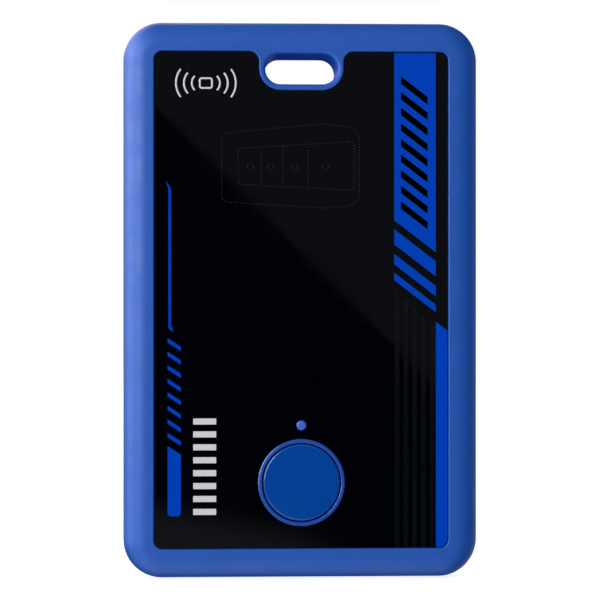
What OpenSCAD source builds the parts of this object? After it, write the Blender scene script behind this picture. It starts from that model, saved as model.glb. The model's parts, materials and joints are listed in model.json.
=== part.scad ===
// Card-shaped tracker tag: a rounded frame with a lanyard slot, a glossy front panel with a round
// push button, and a rear cover with a quick-turn battery door. Millimetres.
//
// Every module draws in the card's own layout: x to the right, y up the card from its middle, and
// z from the rear face towards the front. upright() then stands the card up, with its front towards
// -Y, its top towards +Z, and the middle of the lanyard slot at the origin.

/* [Case] */
// Width of the frame, side to side
case_w = 56; // [54:0.1:68]
// Height of the frame, top to bottom
case_h = 87.7; // [86:0.1:106]
// Thickness, from the rear face to the front rim
case_t = 8; // [7.8:0.1:10]
// Corner radius of the outline
corner_r = 6.05; // [5:0.05:8]
// Radius of the rounded outer edge
edge_r = 3.8; // [2:0.1:3.8]
// Width of the rim between the outer edge and the panel
rim_w = 4.9; // [4.7:0.1:5.9]
// Corner radius of the panel window
window_r = 1.4; // [0.6:0.1:2]
// Width of the seat that the panel is glued to
seat_w = 1.4; // [0.8:0.1:1.8]
// Thickness of the seat
seat_t = 1; // [0.6:0.1:1.2]
// Wall between the outer edge and the inner cavity
side_wall = 5.3; // [5.2:0.1:6]

/* [Lanyard slot] */
// Width of the slot
slot_w = 11.3; // [8:0.1:15]
// Height of the slot
slot_h = 4.75; // [4:0.05:6]
// Distance from the top edge to the middle of the slot
slot_drop = 7.65; // [7.4:0.05:9]
// Wall of the loop around the slot
loop_wall = 0.95; // [0.7:0.05:1.2]
// Radius of the blend between loop and rim
loop_blend = 1.65; // [0.8:0.05:1.8]
// Rounding of the slot's own edges
slot_round = 0.6; // [0.2:0.05:0.6]
// Bridge between the loop and the inner cavity
bridge_w = 1.65; // [1.5:0.05:3]

/* [Front panel] */
// Thickness of the panel
panel_t = 1; // [0.8:0.1:1.2]
// How far the panel lies below the front rim
panel_recess = 0.4; // [0.2:0.05:0.6]
// Gap between the panel and the frame
panel_gap = 0.1; // [0.05:0.05:0.2]
// Thickness of the adhesive under the panel
adhesive_t = 0.15; // [0.1:0.05:0.25]

/* [Button] */
// Diameter of the button cap
cap_d = 12.1; // [9:0.1:14.5]
// Distance from the bottom edge to the middle of the button
button_rise = 15.25; // [15:0.05:18]
// Running gap between cap and ring
cap_gap = 0.2; // [0.1:0.05:0.3]
// How far the cap lies below the front rim
cap_drop = 0.15; // [0:0.05:0.3]
// Travel of the button
press_travel = 0.3; // [0.2:0.05:0.3]
// Wall of the ring's barrel
ring_wall = 0.35; // [0.3:0.05:0.6]
// Lip of the ring on the panel
ring_lip = 0.2; // [0.2:0.05:0.6]
// Diameter of the indicator lens
lens_d = 1.5; // [1:0.1:2.2]
// Distance from the ring's lip up to the middle of the lens
lens_rise = 2.15; // [2:0.05:4]

/* [Battery] */
// Diameter of the coin cell
cell_d = 20; // [14:0.1:20.4]
// Thickness of the coin cell
cell_t = 3.2; // [2.5:0.1:3.2]
// Distance from the middle of the lens up to the edge of the cell's holder
cell_rise = 4.4; // [3.5:0.1:5]
// Turn of the battery door from locked to unlocked, in degrees
door_turn = 50; // [30:1:60]

/* [Rear cover] */
// Thickness of the rear cover
cover_t = 1.2; // [1.2:0.1:1.5]
// Thickness of the gasket under the cover
gasket_t = 0.4; // [0.3:0.05:0.6]
// How far the cover laps over the cavity's wall
cover_lap = 1.3; // [1:0.1:1.4]
// Gap around the cover
cover_gap = 0.1; // [0.05:0.05:0.2]
// Diameter of the sounder disc
piezo_d = 15; // [12:0.1:17]

/* [Board] */
// Thickness of the circuit board
board_t = 0.8; // [0.6:0.1:1]
// Height of the board's rear side above the rear face
board_z = 2.8; // [2.75:0.05:3.2]
// Gap between the board and the cavity's walls
board_gap = 0.4; // [0.2:0.05:0.8]

/* [Screws] */
// Diameter of the screw shank
screw_d = 1.56; // [1.2:0.02:2]
// Diameter of the screw head
head_d = 3; // [2.4:0.1:3.4]
// Thickness of the screw head
head_t = 0.8; // [0.6:0.05:0.85]
// Outer diameter of the threaded insert
insert_d = 2.9; // [2.6:0.1:3.2]
// Length of the threaded insert
insert_l = 2.2; // [1.6:0.1:2.3]
// Diameter of a screw boss
boss_d = 5.2; // [4.8:0.1:5.6]

/* [Hidden] */
$fn = 96;

// Overshoot of a cut past the face it opens
cut = 0.5;
// Play between parts that touch but move, and the smallest gap anywhere
play = 0.02;

// Rounded edge, limited by the wall it is cut from
edge_flat = 0.2;
edge = min(edge_r, (case_t - edge_flat) / 2);

// Window and panel, counted from the front
window_w = case_w - 2 * rim_w;
window_h = case_h - 2 * rim_w;
panel_top = case_t - panel_recess;
panel_bottom = panel_top - panel_t;
seat_top = panel_bottom - adhesive_t;
seat_bottom = seat_top - seat_t;

// Lanyard slot and its loop
slot_y = case_h / 2 - slot_drop;
loop_half_w = slot_w / 2 + loop_wall;
loop_bottom = slot_y - slot_h / 2 - loop_wall;

// Inner cavity, rear recess and the opening inside the seat
cavity_half_w = case_w / 2 - side_wall;
cavity_bottom = side_wall - case_h / 2;
cavity_top = loop_bottom - bridge_w;
cavity_r = 1.2;
recess_depth = cover_t + gasket_t;
opening_half_w = window_w / 2 - seat_w;
opening_bottom = seat_w - window_h / 2;

// Pockets that lighten the solid top of the frame, one each side of the slot
pocket_wall = 2.2;
pocket_side = 2.7;
pocket_floor = 1.5;

// Screw bosses, at one inset from the cavity's walls
boss_inset = 3;
boss_sink = 0.3;
boss_x = cavity_half_w - boss_inset;
boss_low_y = cavity_bottom + boss_inset;
boss_high_y = cavity_top - boss_inset;
boss_r = boss_d / 2;
post_r = 2.4;
board_top = board_z + board_t;
insert_r = insert_d / 2;
shank_r = screw_d / 2;
head_r = head_d / 2;
shank_gap = 0.12;
head_gap = 0.15;
head_sink = 0.15;
head_seat = head_sink + head_t;
screw_tip_gap = 0.3;
screw_tip = board_top + insert_l - screw_tip_gap;
recess_cross_w = 0.4;
recess_cross_l = 1.7;
recess_cross_depth = 0.5;

// Button, its ring and the switch below it
button_y = button_rise - case_h / 2;
ring_bevel = 0.15;
ring_inner_bevel = 0.05;
ring_top = case_t;
ring_in_r = cap_d / 2 + cap_gap;
barrel_r = ring_in_r + ring_wall;
ring_out_r = barrel_r + ring_lip;
lens_y = button_y + ring_out_r + lens_rise;
hole_gap = 0.05;
retainer_t = 0.5;
retainer_w = 0.9;
retainer_bottom = panel_bottom - retainer_t;
barrel_past = 0.2;
barrel_bottom = retainer_bottom - barrel_past;
cap_r = cap_d / 2;
cap_top = case_t - cap_drop;
cap_bevel = 0.2;
cap_roof = 1;
cap_skirt = 1;
cap_flange_t = 0.5;
cap_flange_gap = 0.05;
cap_flange_top = barrel_bottom - cap_flange_gap;
cap_flange_bottom = cap_flange_top - cap_flange_t;
stem_r = 1.4;
switch_w = 4.5;
switch_h = 1;
switch_top = board_top + switch_h;
switch_r = 0.4;
switch_plate_t = 0.15;
switch_plate_in = 0.2;
switch_leg = [0.9, 0.8];
switch_leg_out = 0.3;
switch_leg_y = 1.4;
plunger_r = 1;
plunger_stand = 0.5;
plunger_gap = 0.05;
plunger_top = switch_top + plunger_stand;
plunger_sunk = 0.4;
plunger_floor_gap = 0.1;

// Indicator
lens_r = lens_d / 2;
lens_stand = 0.05;
lens_bevel = 0.12;
lens_collar_w = 0.5;
lens_collar_r = lens_r + lens_collar_w;
lens_collar_t = 0.5;
led_size = [1.6, 0.9, 0.6];
led_air = 0.1;
led_dome_r = 0.4;

// Coin cell, its holder and contacts
cell_r = cell_d / 2;
cell_air = 0.2;
door_sink = 0.1;
door_t = 0.8;
door_inside = door_sink + door_t;
cell_z = door_inside + cell_air;
cell_top = cell_z + cell_t;
contact_t = 0.2;
floor_z = cell_top + contact_t;
floor_t = 0.6;
floor_top = floor_z + floor_t;
floor_hole_r = 5;
cell_gap = 0.35;
cell_bevel = 0.3;
cell_cap_in = 1;
cell_groove_in = 0.35;
cell_groove_low = 0.5;
cell_groove_top = 0.15;
holder_in_r = cell_r + cell_gap;
holder_wall = 1;
holder_out_r = holder_in_r + holder_wall;
holder_flange_w = 0.85;
holder_flange_t = 0.5;
board_hole_gap = 0.1;
board_hole_r = holder_out_r + board_hole_gap;
cell_y = lens_y + cell_rise + holder_out_r + holder_flange_w;
side_contact_half = 18;
side_contact_z = 0.2;
side_contact_drop = 0.6;
side_contact_gap_angle = 3;
contact_leg_w = 3;
contact_leg_l = 1.5;
leaf_w = 4;
leaf_gap = 0.2;
leaf_hole_r = 0.3;
leaf_hole_x = 0.8;
leaf_hole_in = 1;

// Battery door, counted outwards from the cell
skirt_in_gap = 0.4;
skirt_in_r = cell_r + skirt_in_gap;
skirt_t = 0.8;
skirt_out_r = skirt_in_r + skirt_t;
door_gap = 0.1;
bore_r = skirt_out_r + door_gap;
lug_w = 0.75;
lug_out_r = skirt_out_r + lug_w;
lug_t = 0.6;
lug_half = 11;
lug_count = 3;
lug_first = 90;
lug_clear_angle = 2;
channel_gap = 0.15;
channel_r = lug_out_r + channel_gap;
seal_t = 0.25;
seal_w = 0.8;
seal_in_gap = 0.15;
seal_in_r = channel_r + seal_in_gap;
door_lip = 0.05;
door_r = seal_in_r + seal_w + door_lip;
door_recess_r = door_r + door_gap;
seal_seat = door_inside + seal_t + play;
lip_t = 0.53;
lip_top = seal_seat + lip_t;
lug_z = lip_top + door_gap;
skirt_end = lug_z + lug_t;
collar_top = skirt_end + door_gap;
collar_wall = 1.2;
collar_r = channel_r + collar_wall;
coin_slot_l = 15;
coin_slot_w = 1.8;
coin_slot_depth = 0.45;
mark_r = 0.5;
mark_depth = 0.25;
mark_step = 1.4;
mark_pair_angle = 8;

// Sounder behind the rear cover
piezo_r = piezo_d / 2;
piezo_x = 9;
piezo_y = cavity_top - 11.2;
piezo_step = 0.7;
piezo_z = cover_t + piezo_step;
brass_t = 0.2;
ceramic_in = 2.5;
ceramic_r = piezo_r - ceramic_in;
ceramic_t = 0.15;
piezo_rib_in = 0.5;
piezo_rib_out = 0.5;
sound_hole_r = 0.5;
sound_ring_r = 2.4;
sound_count = 6;
mesh_r = 4;
mesh_t = 0.15;
finger_t = 0.15;
finger_w = 1;
finger_l = 1.6;
rim_finger_in = 0.8;
rim_finger = piezo_r - rim_finger_in;

// Contactless coil behind the panel
coil_w = 33;
coil_h = 20;
coil_t = 0.2;
coil_r = 1.5;
coil_y = cavity_top - 11.7;
coil_bottom = panel_bottom - coil_t;
ferrite_t = 0.2;
ferrite_bottom = coil_bottom - ferrite_t;
ferrite_side = 1;
ferrite_foot = 3;
ferrite_head = 0.5;
ferrite_r = 1;
spring_t = 0.2;
spring_w = 1.4;
spring_l = 2.4;
spring_x = 12.4;
spring_step = 3;
spring_y = coil_y - coil_h / 2 + 1.1;

// Parts on the board's front, each at its x and its distance below the cavity's top
radio_size = [12, 15.5, 1.7];
radio_at = [-10.8, 11.5];
radio_base_t = 0.4;
radio_can_inset = 0.4;
radio_can_r = 0.5;
radio_vent_r = 0.4;
radio_vent_x = 3.5;
radio_vent_y = 4.9;
radio_vent_depth = 0.15;
aerial_size = [7, 2, 1];
aerial_at = [-10.8, 2.3];
aerial_cap_l = 0.8;
aerial_body_in = 0.05;
controller_size = [6, 6, 0.9];
controller_at = [2.6, 7.2];
reader_size = [4, 4, 0.8];
reader_at = [2.6, 15.2];
power_size = [3, 3, 0.8];
power_rise = 3.4;
power_at = [-12, cavity_top - button_y - power_rise];
chip_pad_t = 0.12;
chip_pad_in = 0.35;
chip_dot_r = 0.3;
chip_dot_in = 0.75;
chip_dot_depth = 0.1;
crystal_size = [3.2, 2.5, 0.7];
crystal_at = [9.6, 5.2];
crystal_r = 0.2;
crystal_lid_in = 0.3;
crystal_lid_r = 0.3;
crystal_base_t = 0.4;
passive_l = 1.6;
passive_w = 0.8;
passive_h = 0.6;
passive_end = 0.35;
passive_body_in = 0.04;
passive_body_low = 0.06;
passive_pitch_x = 2.6;
passive_pitch_y = 1.7;

// Fields of small passives: the place of the lowest one on the left, columns and rows
passive_fields = [
    [[8.2, 14.4], 3, 4],
    [power_at + [-5.2, 3.6], 1, 4],
    [power_at + [3.6, 2.8], 1, 3],
    [[9.4, power_at[1] + 3.6], 4, 4],
    [[-3.4, cavity_top - lens_y], 1, 1]
];

// Stands the card up: front towards -Y, slot's middle at the origin
module upright() {
    rotate([90, 0, 0]) translate([0, -slot_y, -case_t / 2]) children();
}

// Flat rounded rectangle about its middle
module rounded_rect(w, h, r) {
    square([w - 2 * r, h], center = true);
    square([w, h - 2 * r], center = true);
    for (sx = [-1, 1], sy = [-1, 1])
        translate([sx * (w / 2 - r), sy * (h / 2 - r)]) circle(r);
}

// Flat obround about its middle, long way across
module obround(w, h) {
    square([w - h, h], center = true);
    for (side = [-1, 1]) translate([side * (w - h) / 2, 0]) circle(h / 2);
}

// Flat rounded rectangle between two corners
module rounded_span(half_w, low, high, r) {
    translate([0, (low + high) / 2]) rounded_rect(2 * half_w, high - low, r);
}

// A slab from one height to another
module slab(low, high) {
    translate([0, 0, low]) linear_extrude(high - low) children();
}

// A ring from one height to another
module ring(out_r, in_r, low, high) {
    translate([0, 0, low]) difference() {
        cylinder(r = out_r, h = high - low);
        translate([0, 0, -cut]) cylinder(r = in_r, h = high - low + 2 * cut);
    }
}

// Part of a ring between two angles
module ring_part(out_r, in_r, low, high, from, to) {
    rotate([0, 0, from]) rotate_extrude(angle = to - from)
        translate([in_r, low]) square([out_r - in_r, high - low]);
}

// A box with its middle at x, y and its foot at z
module block(size, x, y, z) {
    translate([x - size[0] / 2, y - size[1] / 2, z]) cube(size);
}

// Places something on the board's front
module on_board(at) {
    translate([at[0], cavity_top - at[1], board_top]) children();
}

module at_bosses() {
    for (sx = [-1, 1], y = [boss_low_y, boss_high_y]) translate([sx * boss_x, y]) children();
}

// Solid of the whole case: two crossed rounded sections and four rounded corners
module case_solid() {
    straight_w = case_w - 2 * corner_r;
    straight_h = case_h - 2 * corner_r;
    translate([-straight_w / 2, 0, case_t / 2]) rotate([90, 0, 90])
        linear_extrude(straight_w) rounded_rect(case_h, case_t, edge);
    translate([0, straight_h / 2, case_t / 2]) rotate([90, 0, 0])
        linear_extrude(straight_h) rounded_rect(case_w, case_t, edge);
    for (quarter = [0:3]) {
        sx = (quarter == 0 || quarter == 3) ? 1 : -1;
        sy = quarter < 2 ? 1 : -1;
        translate([sx * straight_w / 2, sy * straight_h / 2, case_t / 2])
            rotate([0, 0, 90 * quarter]) rotate_extrude(angle = 90) intersection() {
                rounded_rect(2 * corner_r, case_t, edge);
                translate([0, -case_t]) square([2 * corner_r, 2 * case_t]);
            }
    }
}

// Outline of the loop around the slot, with its blends into the rim, grown by a gap
module loop_outline(gap) {
    half_w = loop_half_w + gap;
    rim_y = window_h / 2 - gap;
    blend = loop_blend - gap;
    translate([0, slot_y]) obround(2 * half_w, slot_h + 2 * (loop_wall + gap));
    translate([-half_w, slot_y]) square([2 * half_w, rim_y - slot_y + cut]);
    for (side = [0, 1]) mirror([side, 0]) translate([half_w, rim_y - blend]) difference() {
        translate([-cut, 0]) square([blend + cut, blend + cut]);
        translate([blend, 0]) circle(blend);
    }
}

// Outline of the panel window, shrunk by a gap
module window_outline(gap) {
    difference() {
        rounded_rect(window_w - 2 * gap, window_h - 2 * gap, window_r - gap);
        loop_outline(gap);
    }
}

// Rounded mouth of the slot at the rear face: what the rounding takes away
module slot_mouth() {
    half = (slot_w - slot_h) / 2;
    module flare() {
        translate([slot_h / 2 - play, -cut]) difference() {
            square([slot_round + play, slot_round + cut]);
            translate([slot_round + play, slot_round + cut]) circle(slot_round);
        }
    }
    for (side = [0, 1]) mirror([side, 0, 0]) translate([half, 0, 0])
        rotate([0, 0, -90]) rotate_extrude(angle = 180) flare();
    for (side = [0, 1]) mirror([0, side, 0]) translate([-half, 0, 0])
        rotate([90, 0, 90]) linear_extrude(2 * half) flare();
}

module front_frame() color("royalblue") upright() {
    difference() {
        union() {
            difference() {
                case_solid();
                slab(seat_top, case_t + cut) window_outline(0);
                slab(seat_bottom - cut, seat_top + cut)
                    rounded_span(opening_half_w, opening_bottom, cavity_top, cavity_r);
                slab(-cut, seat_bottom)
                    rounded_span(cavity_half_w, cavity_bottom, cavity_top, cavity_r);
                slab(-cut, recess_depth) rounded_span(
                    cavity_half_w + cover_lap, cavity_bottom - cover_lap,
                    cavity_top + cover_lap, cavity_r + cover_lap);
                for (side = [0, 1]) mirror([side, 0, 0])
                    translate([loop_half_w + pocket_side, cavity_top + pocket_wall, pocket_floor])
                        cube([
                            opening_half_w - loop_half_w - pocket_side,
                            window_h / 2 - seat_w - cavity_top - pocket_wall,
                            case_t
                        ]);
            }
            for (side = [0, 1]) mirror([side, 0, 0])
                for (low = [true, false]) boss(low ? boss_low_y : boss_high_y, low ? -1 : 1);
        }
        at_bosses() translate([0, 0, board_top - cut]) cylinder(r = insert_r, h = insert_l + cut);
        translate([0, slot_y, -cut]) linear_extrude(case_t + 2 * cut) obround(slot_w, slot_h);
        translate([0, slot_y, 0]) slot_mouth();
        translate([0, slot_y, case_t]) mirror([0, 0, 1]) slot_mouth();
    }
}

// One boss, filled out to the two walls of its corner
module boss(y, up) {
    reach = boss_inset + boss_sink;
    tall = seat_top - board_top;
    translate([boss_x, y, board_top]) {
        cylinder(r = boss_r, h = tall);
        translate([0, -boss_r, 0]) cube([reach, 2 * boss_r, tall]);
        translate([-boss_r, up > 0 ? 0 : -reach, 0]) cube([2 * boss_r, reach, tall]);
    }
}

module front_panel() color("black") upright() difference() {
    slab(panel_bottom, panel_top) window_outline(panel_gap);
    translate([0, button_y, panel_bottom - cut])
        cylinder(r = barrel_r + hole_gap, h = panel_t + 2 * cut);
    translate([0, lens_y, panel_bottom - cut])
        cylinder(r = lens_r + hole_gap, h = panel_t + 2 * cut);
}

module panel_adhesive() color("dimgray") upright() slab(seat_top, panel_bottom) difference() {
    window_outline(2 * panel_gap);
    rounded_span(opening_half_w, opening_bottom, cavity_top, cavity_r);
    for (side = [0, 1]) mirror([side, 0])
        translate([loop_half_w + pocket_side, cavity_top + pocket_wall])
            square([
                opening_half_w - loop_half_w - pocket_side,
                window_h / 2 - seat_w - cavity_top - pocket_wall
            ]);
}

module button_ring() color("cornflowerblue") upright() translate([0, button_y, 0])
    rotate_extrude() polygon([
        [ring_in_r, barrel_bottom], [barrel_r, barrel_bottom], [barrel_r, panel_top],
        [ring_out_r, panel_top], [ring_out_r, ring_top - ring_bevel],
        [ring_out_r - ring_bevel, ring_top], [ring_in_r + ring_inner_bevel, ring_top],
        [ring_in_r, ring_top - ring_inner_bevel]
    ]);

module button_retainer() color("slategray") upright() translate([0, button_y, 0])
    ring(barrel_r + retainer_w, barrel_r, retainer_bottom, panel_bottom);

module button_cap() color("mediumblue") upright() translate([0, button_y, 0])
    rotate_extrude() polygon([
        [0, plunger_top + play], [stem_r, plunger_top + play], [stem_r, cap_top - cap_roof],
        [cap_r - cap_skirt, cap_top - cap_roof], [cap_r - cap_skirt, cap_flange_bottom],
        [barrel_r, cap_flange_bottom], [barrel_r, cap_flange_top], [cap_r, cap_flange_top],
        [cap_r, cap_top - cap_bevel], [cap_r - cap_bevel, cap_top], [0, cap_top]
    ]);

module switch_body() color("dimgray") upright() translate([0, button_y, 0]) difference() {
    plate_w = switch_w - 2 * switch_plate_in;
    union() {
        slab(board_top, switch_top - switch_plate_t) rounded_rect(switch_w, switch_w, switch_r);
        slab(switch_top - switch_plate_t, switch_top) rounded_rect(plate_w, plate_w, switch_r);
        for (sx = [-1, 1], sy = [-1, 1])
            block([switch_leg[0], switch_leg[1], switch_plate_t],
                sx * (switch_w / 2 + switch_leg_out), sy * switch_leg_y, board_top);
    }
    translate([0, 0, switch_top - plunger_sunk - press_travel - plunger_floor_gap])
        cylinder(r = plunger_r + plunger_gap, h = case_t);
}

module switch_plunger() color("gainsboro") upright() translate([0, button_y, 0])
    translate([0, 0, switch_top - plunger_sunk])
        cylinder(r = plunger_r, h = plunger_stand + plunger_sunk);

module light_pipe() color("deepskyblue") upright() translate([0, lens_y, 0]) {
    foot = board_top + led_size[2] + led_air;
    tip = panel_top + lens_stand;
    rotate_extrude() polygon([
        [0, foot], [lens_r, foot], [lens_r, panel_bottom - lens_collar_t],
        [lens_collar_r, panel_bottom - lens_collar_t], [lens_collar_r, panel_bottom],
        [lens_r, panel_bottom], [lens_r, tip - lens_bevel], [lens_r - lens_bevel, tip], [0, tip]
    ]);
}

module led_chip() color("lightyellow") upright() translate([0, lens_y, board_top]) {
    block([led_size[0], led_size[1], led_size[2] / 2], 0, 0, 0);
    translate([0, 0, led_size[2] / 2]) cylinder(r = led_dome_r, h = led_size[2] / 2);
}

module main_board() color("darkgreen") upright() slab(board_z, board_top) difference() {
    rounded_span(cavity_half_w - board_gap, cavity_bottom + board_gap,
        cavity_top - board_gap, cavity_r);
    translate([0, cell_y]) circle(board_hole_r);
    at_bosses() circle(shank_r + shank_gap);
}

module radio_module() color("silver") upright() on_board(radio_at) {
    size = radio_size;
    can_w = size[0] - 2 * radio_can_inset;
    can_l = size[1] - 2 * radio_can_inset;
    block([size[0], size[1], radio_base_t], 0, 0, 0);
    difference() {
        slab(radio_base_t, size[2]) rounded_rect(can_w, can_l, radio_can_r);
        for (column = [-1:1], sy = [-1, 1])
            translate([column * radio_vent_x, sy * radio_vent_y, size[2] - radio_vent_depth])
                cylinder(r = radio_vent_r, h = radio_vent_depth + cut);
    }
}

module chip_antenna() color("ivory") upright() on_board(aerial_at) {
    size = aerial_size;
    block([size[0] - 2 * aerial_cap_l, size[1] - 2 * aerial_body_in, size[2] - aerial_body_in],
        0, 0, 0);
    for (side = [-1, 1])
        block([aerial_cap_l, size[1], size[2]], side * (size[0] - aerial_cap_l) / 2, 0, 0);
}

// A flat square chip: its pads, its body and the dot that marks its first corner
module flat_chip(size) {
    block([size[0], size[1], chip_pad_t], 0, 0, 0);
    difference() {
        block([size[0] - chip_pad_in, size[1] - chip_pad_in, size[2] - chip_pad_t], 0, 0, chip_pad_t);
        translate([chip_dot_in - size[0] / 2, size[1] / 2 - chip_dot_in, size[2] - chip_dot_depth])
            cylinder(r = chip_dot_r, h = chip_dot_depth + cut);
    }
}

module controller_chip() color("dimgray") upright() on_board(controller_at)
    flat_chip(controller_size);

module reader_chip() color("dimgray") upright() on_board(reader_at) flat_chip(reader_size);

module power_chip() color("dimgray") upright() on_board(power_at) flat_chip(power_size);

module crystal() color("lightgray") upright() on_board(crystal_at) {
    size = crystal_size;
    slab(0, crystal_base_t) rounded_rect(size[0], size[1], crystal_r);
    slab(crystal_base_t, size[2])
        rounded_rect(size[0] - 2 * crystal_lid_in, size[1] - 2 * crystal_lid_in, crystal_lid_r);
}

// One resistor or capacitor: a body between two raised end caps
module passive() {
    block([passive_l - 2 * passive_end, passive_w - 2 * passive_body_in, passive_h - passive_body_low],
        0, 0, 0);
    for (side = [-1, 1])
        block([passive_end, passive_w, passive_h], side * (passive_l - passive_end) / 2, 0, 0);
}

module passives() color("tan") upright()
    for (field = passive_fields) on_board(field[0])
        for (column = [0:field[1] - 1], row = [0:field[2] - 1])
            translate([column * passive_pitch_x, row * passive_pitch_y, 0]) passive();

module nfc_antenna() color("darkorange") upright()
    translate([0, coil_y]) slab(coil_bottom, panel_bottom) rounded_rect(coil_w, coil_h, coil_r);

module ferrite_sheet() color("darkslategray") upright() slab(ferrite_bottom, coil_bottom)
    rounded_span(coil_w / 2 - ferrite_side, coil_y - coil_h / 2 + ferrite_foot,
        coil_y + coil_h / 2 - ferrite_head, ferrite_r);

// A spring finger: a foot, a riser at one end and an arm that comes back over the foot
module finger(l, w, t, tall) {
    block([l, w, t], 0, 0, 0);
    block([t, w, tall], (l - t) / 2, 0, 0);
    block([l, w, t], 0, 0, tall - t);
}

module antenna_springs() color("gold") upright()
    for (step = [0, 1]) translate([-spring_x + step * spring_step, spring_y, board_top])
        finger(spring_l, spring_w, spring_t, coil_bottom - board_top);

module cell_holder() color("whitesmoke") upright() translate([0, cell_y, 0]) difference() {
    union() {
        ring(holder_out_r, holder_in_r, collar_top, floor_z);
        ring(holder_out_r, floor_hole_r, floor_z, floor_top);
        ring(holder_out_r + holder_flange_w, holder_in_r, board_top, board_top + holder_flange_t);
    }
    // gap for the side contact
    ring_part(holder_out_r + holder_flange_w + cut, cell_r - cut, collar_top - cut, floor_z,
        -90 - side_contact_half - side_contact_gap_angle,
        -90 + side_contact_half + side_contact_gap_angle);
    // way out for the leaf under the floor
    translate([-leaf_w / 2 - leaf_gap, 0, cell_top - leaf_gap])
        cube([leaf_w + 2 * leaf_gap, holder_out_r + holder_flange_w + cut, contact_t + leaf_gap]);
    translate([-leaf_w / 2 - leaf_gap, holder_out_r, board_top - cut])
        cube([leaf_w + 2 * leaf_gap, holder_flange_w + cut, floor_z - board_top + cut]);
}

module coin_cell() color("lightsteelblue") upright() translate([0, cell_y, 0]) {
    cap_r = cell_r - cell_cap_in;
    groove = cell_top - cell_groove_top;
    rotate_extrude() polygon([
        [0, cell_z], [cell_r - cell_bevel, cell_z], [cell_r, cell_z + cell_bevel],
        [cell_r, cell_top - cell_groove_low], [cell_r - cell_groove_in, groove], [cap_r, groove],
        [cap_r - cell_bevel, cell_top], [0, cell_top]
    ]);
}

module positive_contact() color("goldenrod") upright() translate([0, cell_y, 0]) {
    ring_part(cell_r + play + contact_t, cell_r + play, collar_top + side_contact_z,
        cell_top - side_contact_drop, -90 - side_contact_half, -90 + side_contact_half);
    translate([-contact_leg_w / 2, -board_hole_r - contact_leg_l, board_top])
        cube([contact_leg_w, board_hole_r + contact_leg_l - cell_r - contact_t / 2, contact_t]);
}

module negative_contact() color("goldenrod") upright() translate([0, cell_y, 0]) {
    reach = holder_out_r + holder_flange_w + leaf_gap;
    difference() {
        translate([-leaf_w / 2, -floor_hole_r, cell_top])
            cube([leaf_w, floor_hole_r + reach + contact_t, contact_t]);
        for (side = [-1, 1])
            translate([side * leaf_hole_x, leaf_hole_in - floor_hole_r, cell_top - cut])
                cylinder(r = leaf_hole_r, h = contact_t + 2 * cut);
    }
    translate([-leaf_w / 2, reach, board_top]) cube([leaf_w, contact_t, floor_z - board_top]);
    translate([-leaf_w / 2, reach, board_top]) cube([leaf_w, contact_leg_l, contact_t]);
}

module piezo_disc() color("gold") upright() translate([piezo_x, piezo_y, piezo_z]) {
    cylinder(r = piezo_r, h = brass_t);
    translate([0, 0, brass_t]) cylinder(r = ceramic_r, h = ceramic_t);
}

module piezo_springs() color("gold") upright() {
    middle = piezo_z + brass_t + ceramic_t;
    translate([piezo_x, piezo_y, middle]) finger(finger_l, finger_w, finger_t, board_z - middle);
    rim = piezo_z + brass_t;
    translate([piezo_x, piezo_y - rim_finger, rim])
        finger(finger_l, finger_w, finger_t, board_z - rim);
}

module sound_mesh() color("dimgray") upright()
    translate([piezo_x, piezo_y, cover_t]) cylinder(r = mesh_r, h = mesh_t);

module rear_cover() color("dimgray") upright() difference() {
    union() {
        slab(0, cover_t) rounded_span(
            cavity_half_w + cover_lap - cover_gap, cavity_bottom - cover_lap + cover_gap,
            cavity_top + cover_lap - cover_gap, cavity_r + cover_lap - cover_gap);
        translate([0, cell_y, cover_t / 2]) cylinder(r = collar_r, h = collar_top - cover_t / 2);
        at_bosses() translate([0, 0, cover_t / 2]) cylinder(r = post_r, h = board_z - cover_t / 2);
        translate([piezo_x, piezo_y, 0])
            ring(piezo_r + piezo_rib_out, piezo_r - piezo_rib_in, cover_t / 2, piezo_z);
    }
    translate([0, cell_y, 0]) {
        translate([0, 0, -cut]) cylinder(r = door_recess_r, h = seal_seat + cut);
        translate([0, 0, -cut]) cylinder(r = bore_r, h = case_t);
        for (lug = [0:lug_count - 1]) {
            locked = lug_first + lug * 360 / lug_count;
            sweep = lug_half + lug_clear_angle;
            ring_part(channel_r, bore_r - cut, lip_top, collar_top + cut,
                locked - door_turn - sweep, locked + sweep);
            ring_part(channel_r, bore_r - cut, seal_seat - cut, lip_top + cut,
                locked - door_turn - sweep, locked - door_turn + sweep);
        }
    }
    at_bosses() {
        translate([0, 0, -cut]) cylinder(r = head_r + head_gap, h = head_seat + cut);
        translate([0, 0, -cut]) cylinder(r = shank_r + shank_gap, h = case_t);
    }
    translate([piezo_x, piezo_y, -cut]) {
        cylinder(r = sound_hole_r, h = cover_t + 2 * cut);
        for (hole = [0:sound_count - 1]) rotate([0, 0, hole * 360 / sound_count])
            translate([sound_ring_r, 0, 0]) cylinder(r = sound_hole_r, h = cover_t + 2 * cut);
    }
    // marks for locked, one dot, and unlocked, two dots
    translate([0, cell_y, -cut]) {
        translate([0, door_recess_r + mark_step, 0]) cylinder(r = mark_r, h = mark_depth + cut);
        for (side = [-1, 1]) rotate([0, 0, side * mark_pair_angle / 2 - door_turn])
            translate([0, door_recess_r + mark_step, 0]) cylinder(r = mark_r, h = mark_depth + cut);
    }
}

module cover_gasket() color("darkslategray") upright() slab(cover_t, recess_depth) difference() {
    rounded_span(cavity_half_w + cover_lap - cover_gap, cavity_bottom - cover_lap + cover_gap,
        cavity_top + cover_lap - cover_gap, cavity_r + cover_lap - cover_gap);
    rounded_span(cavity_half_w + cover_gap, cavity_bottom - cover_gap, cavity_top + cover_gap,
        cavity_r + cover_gap);
}

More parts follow.
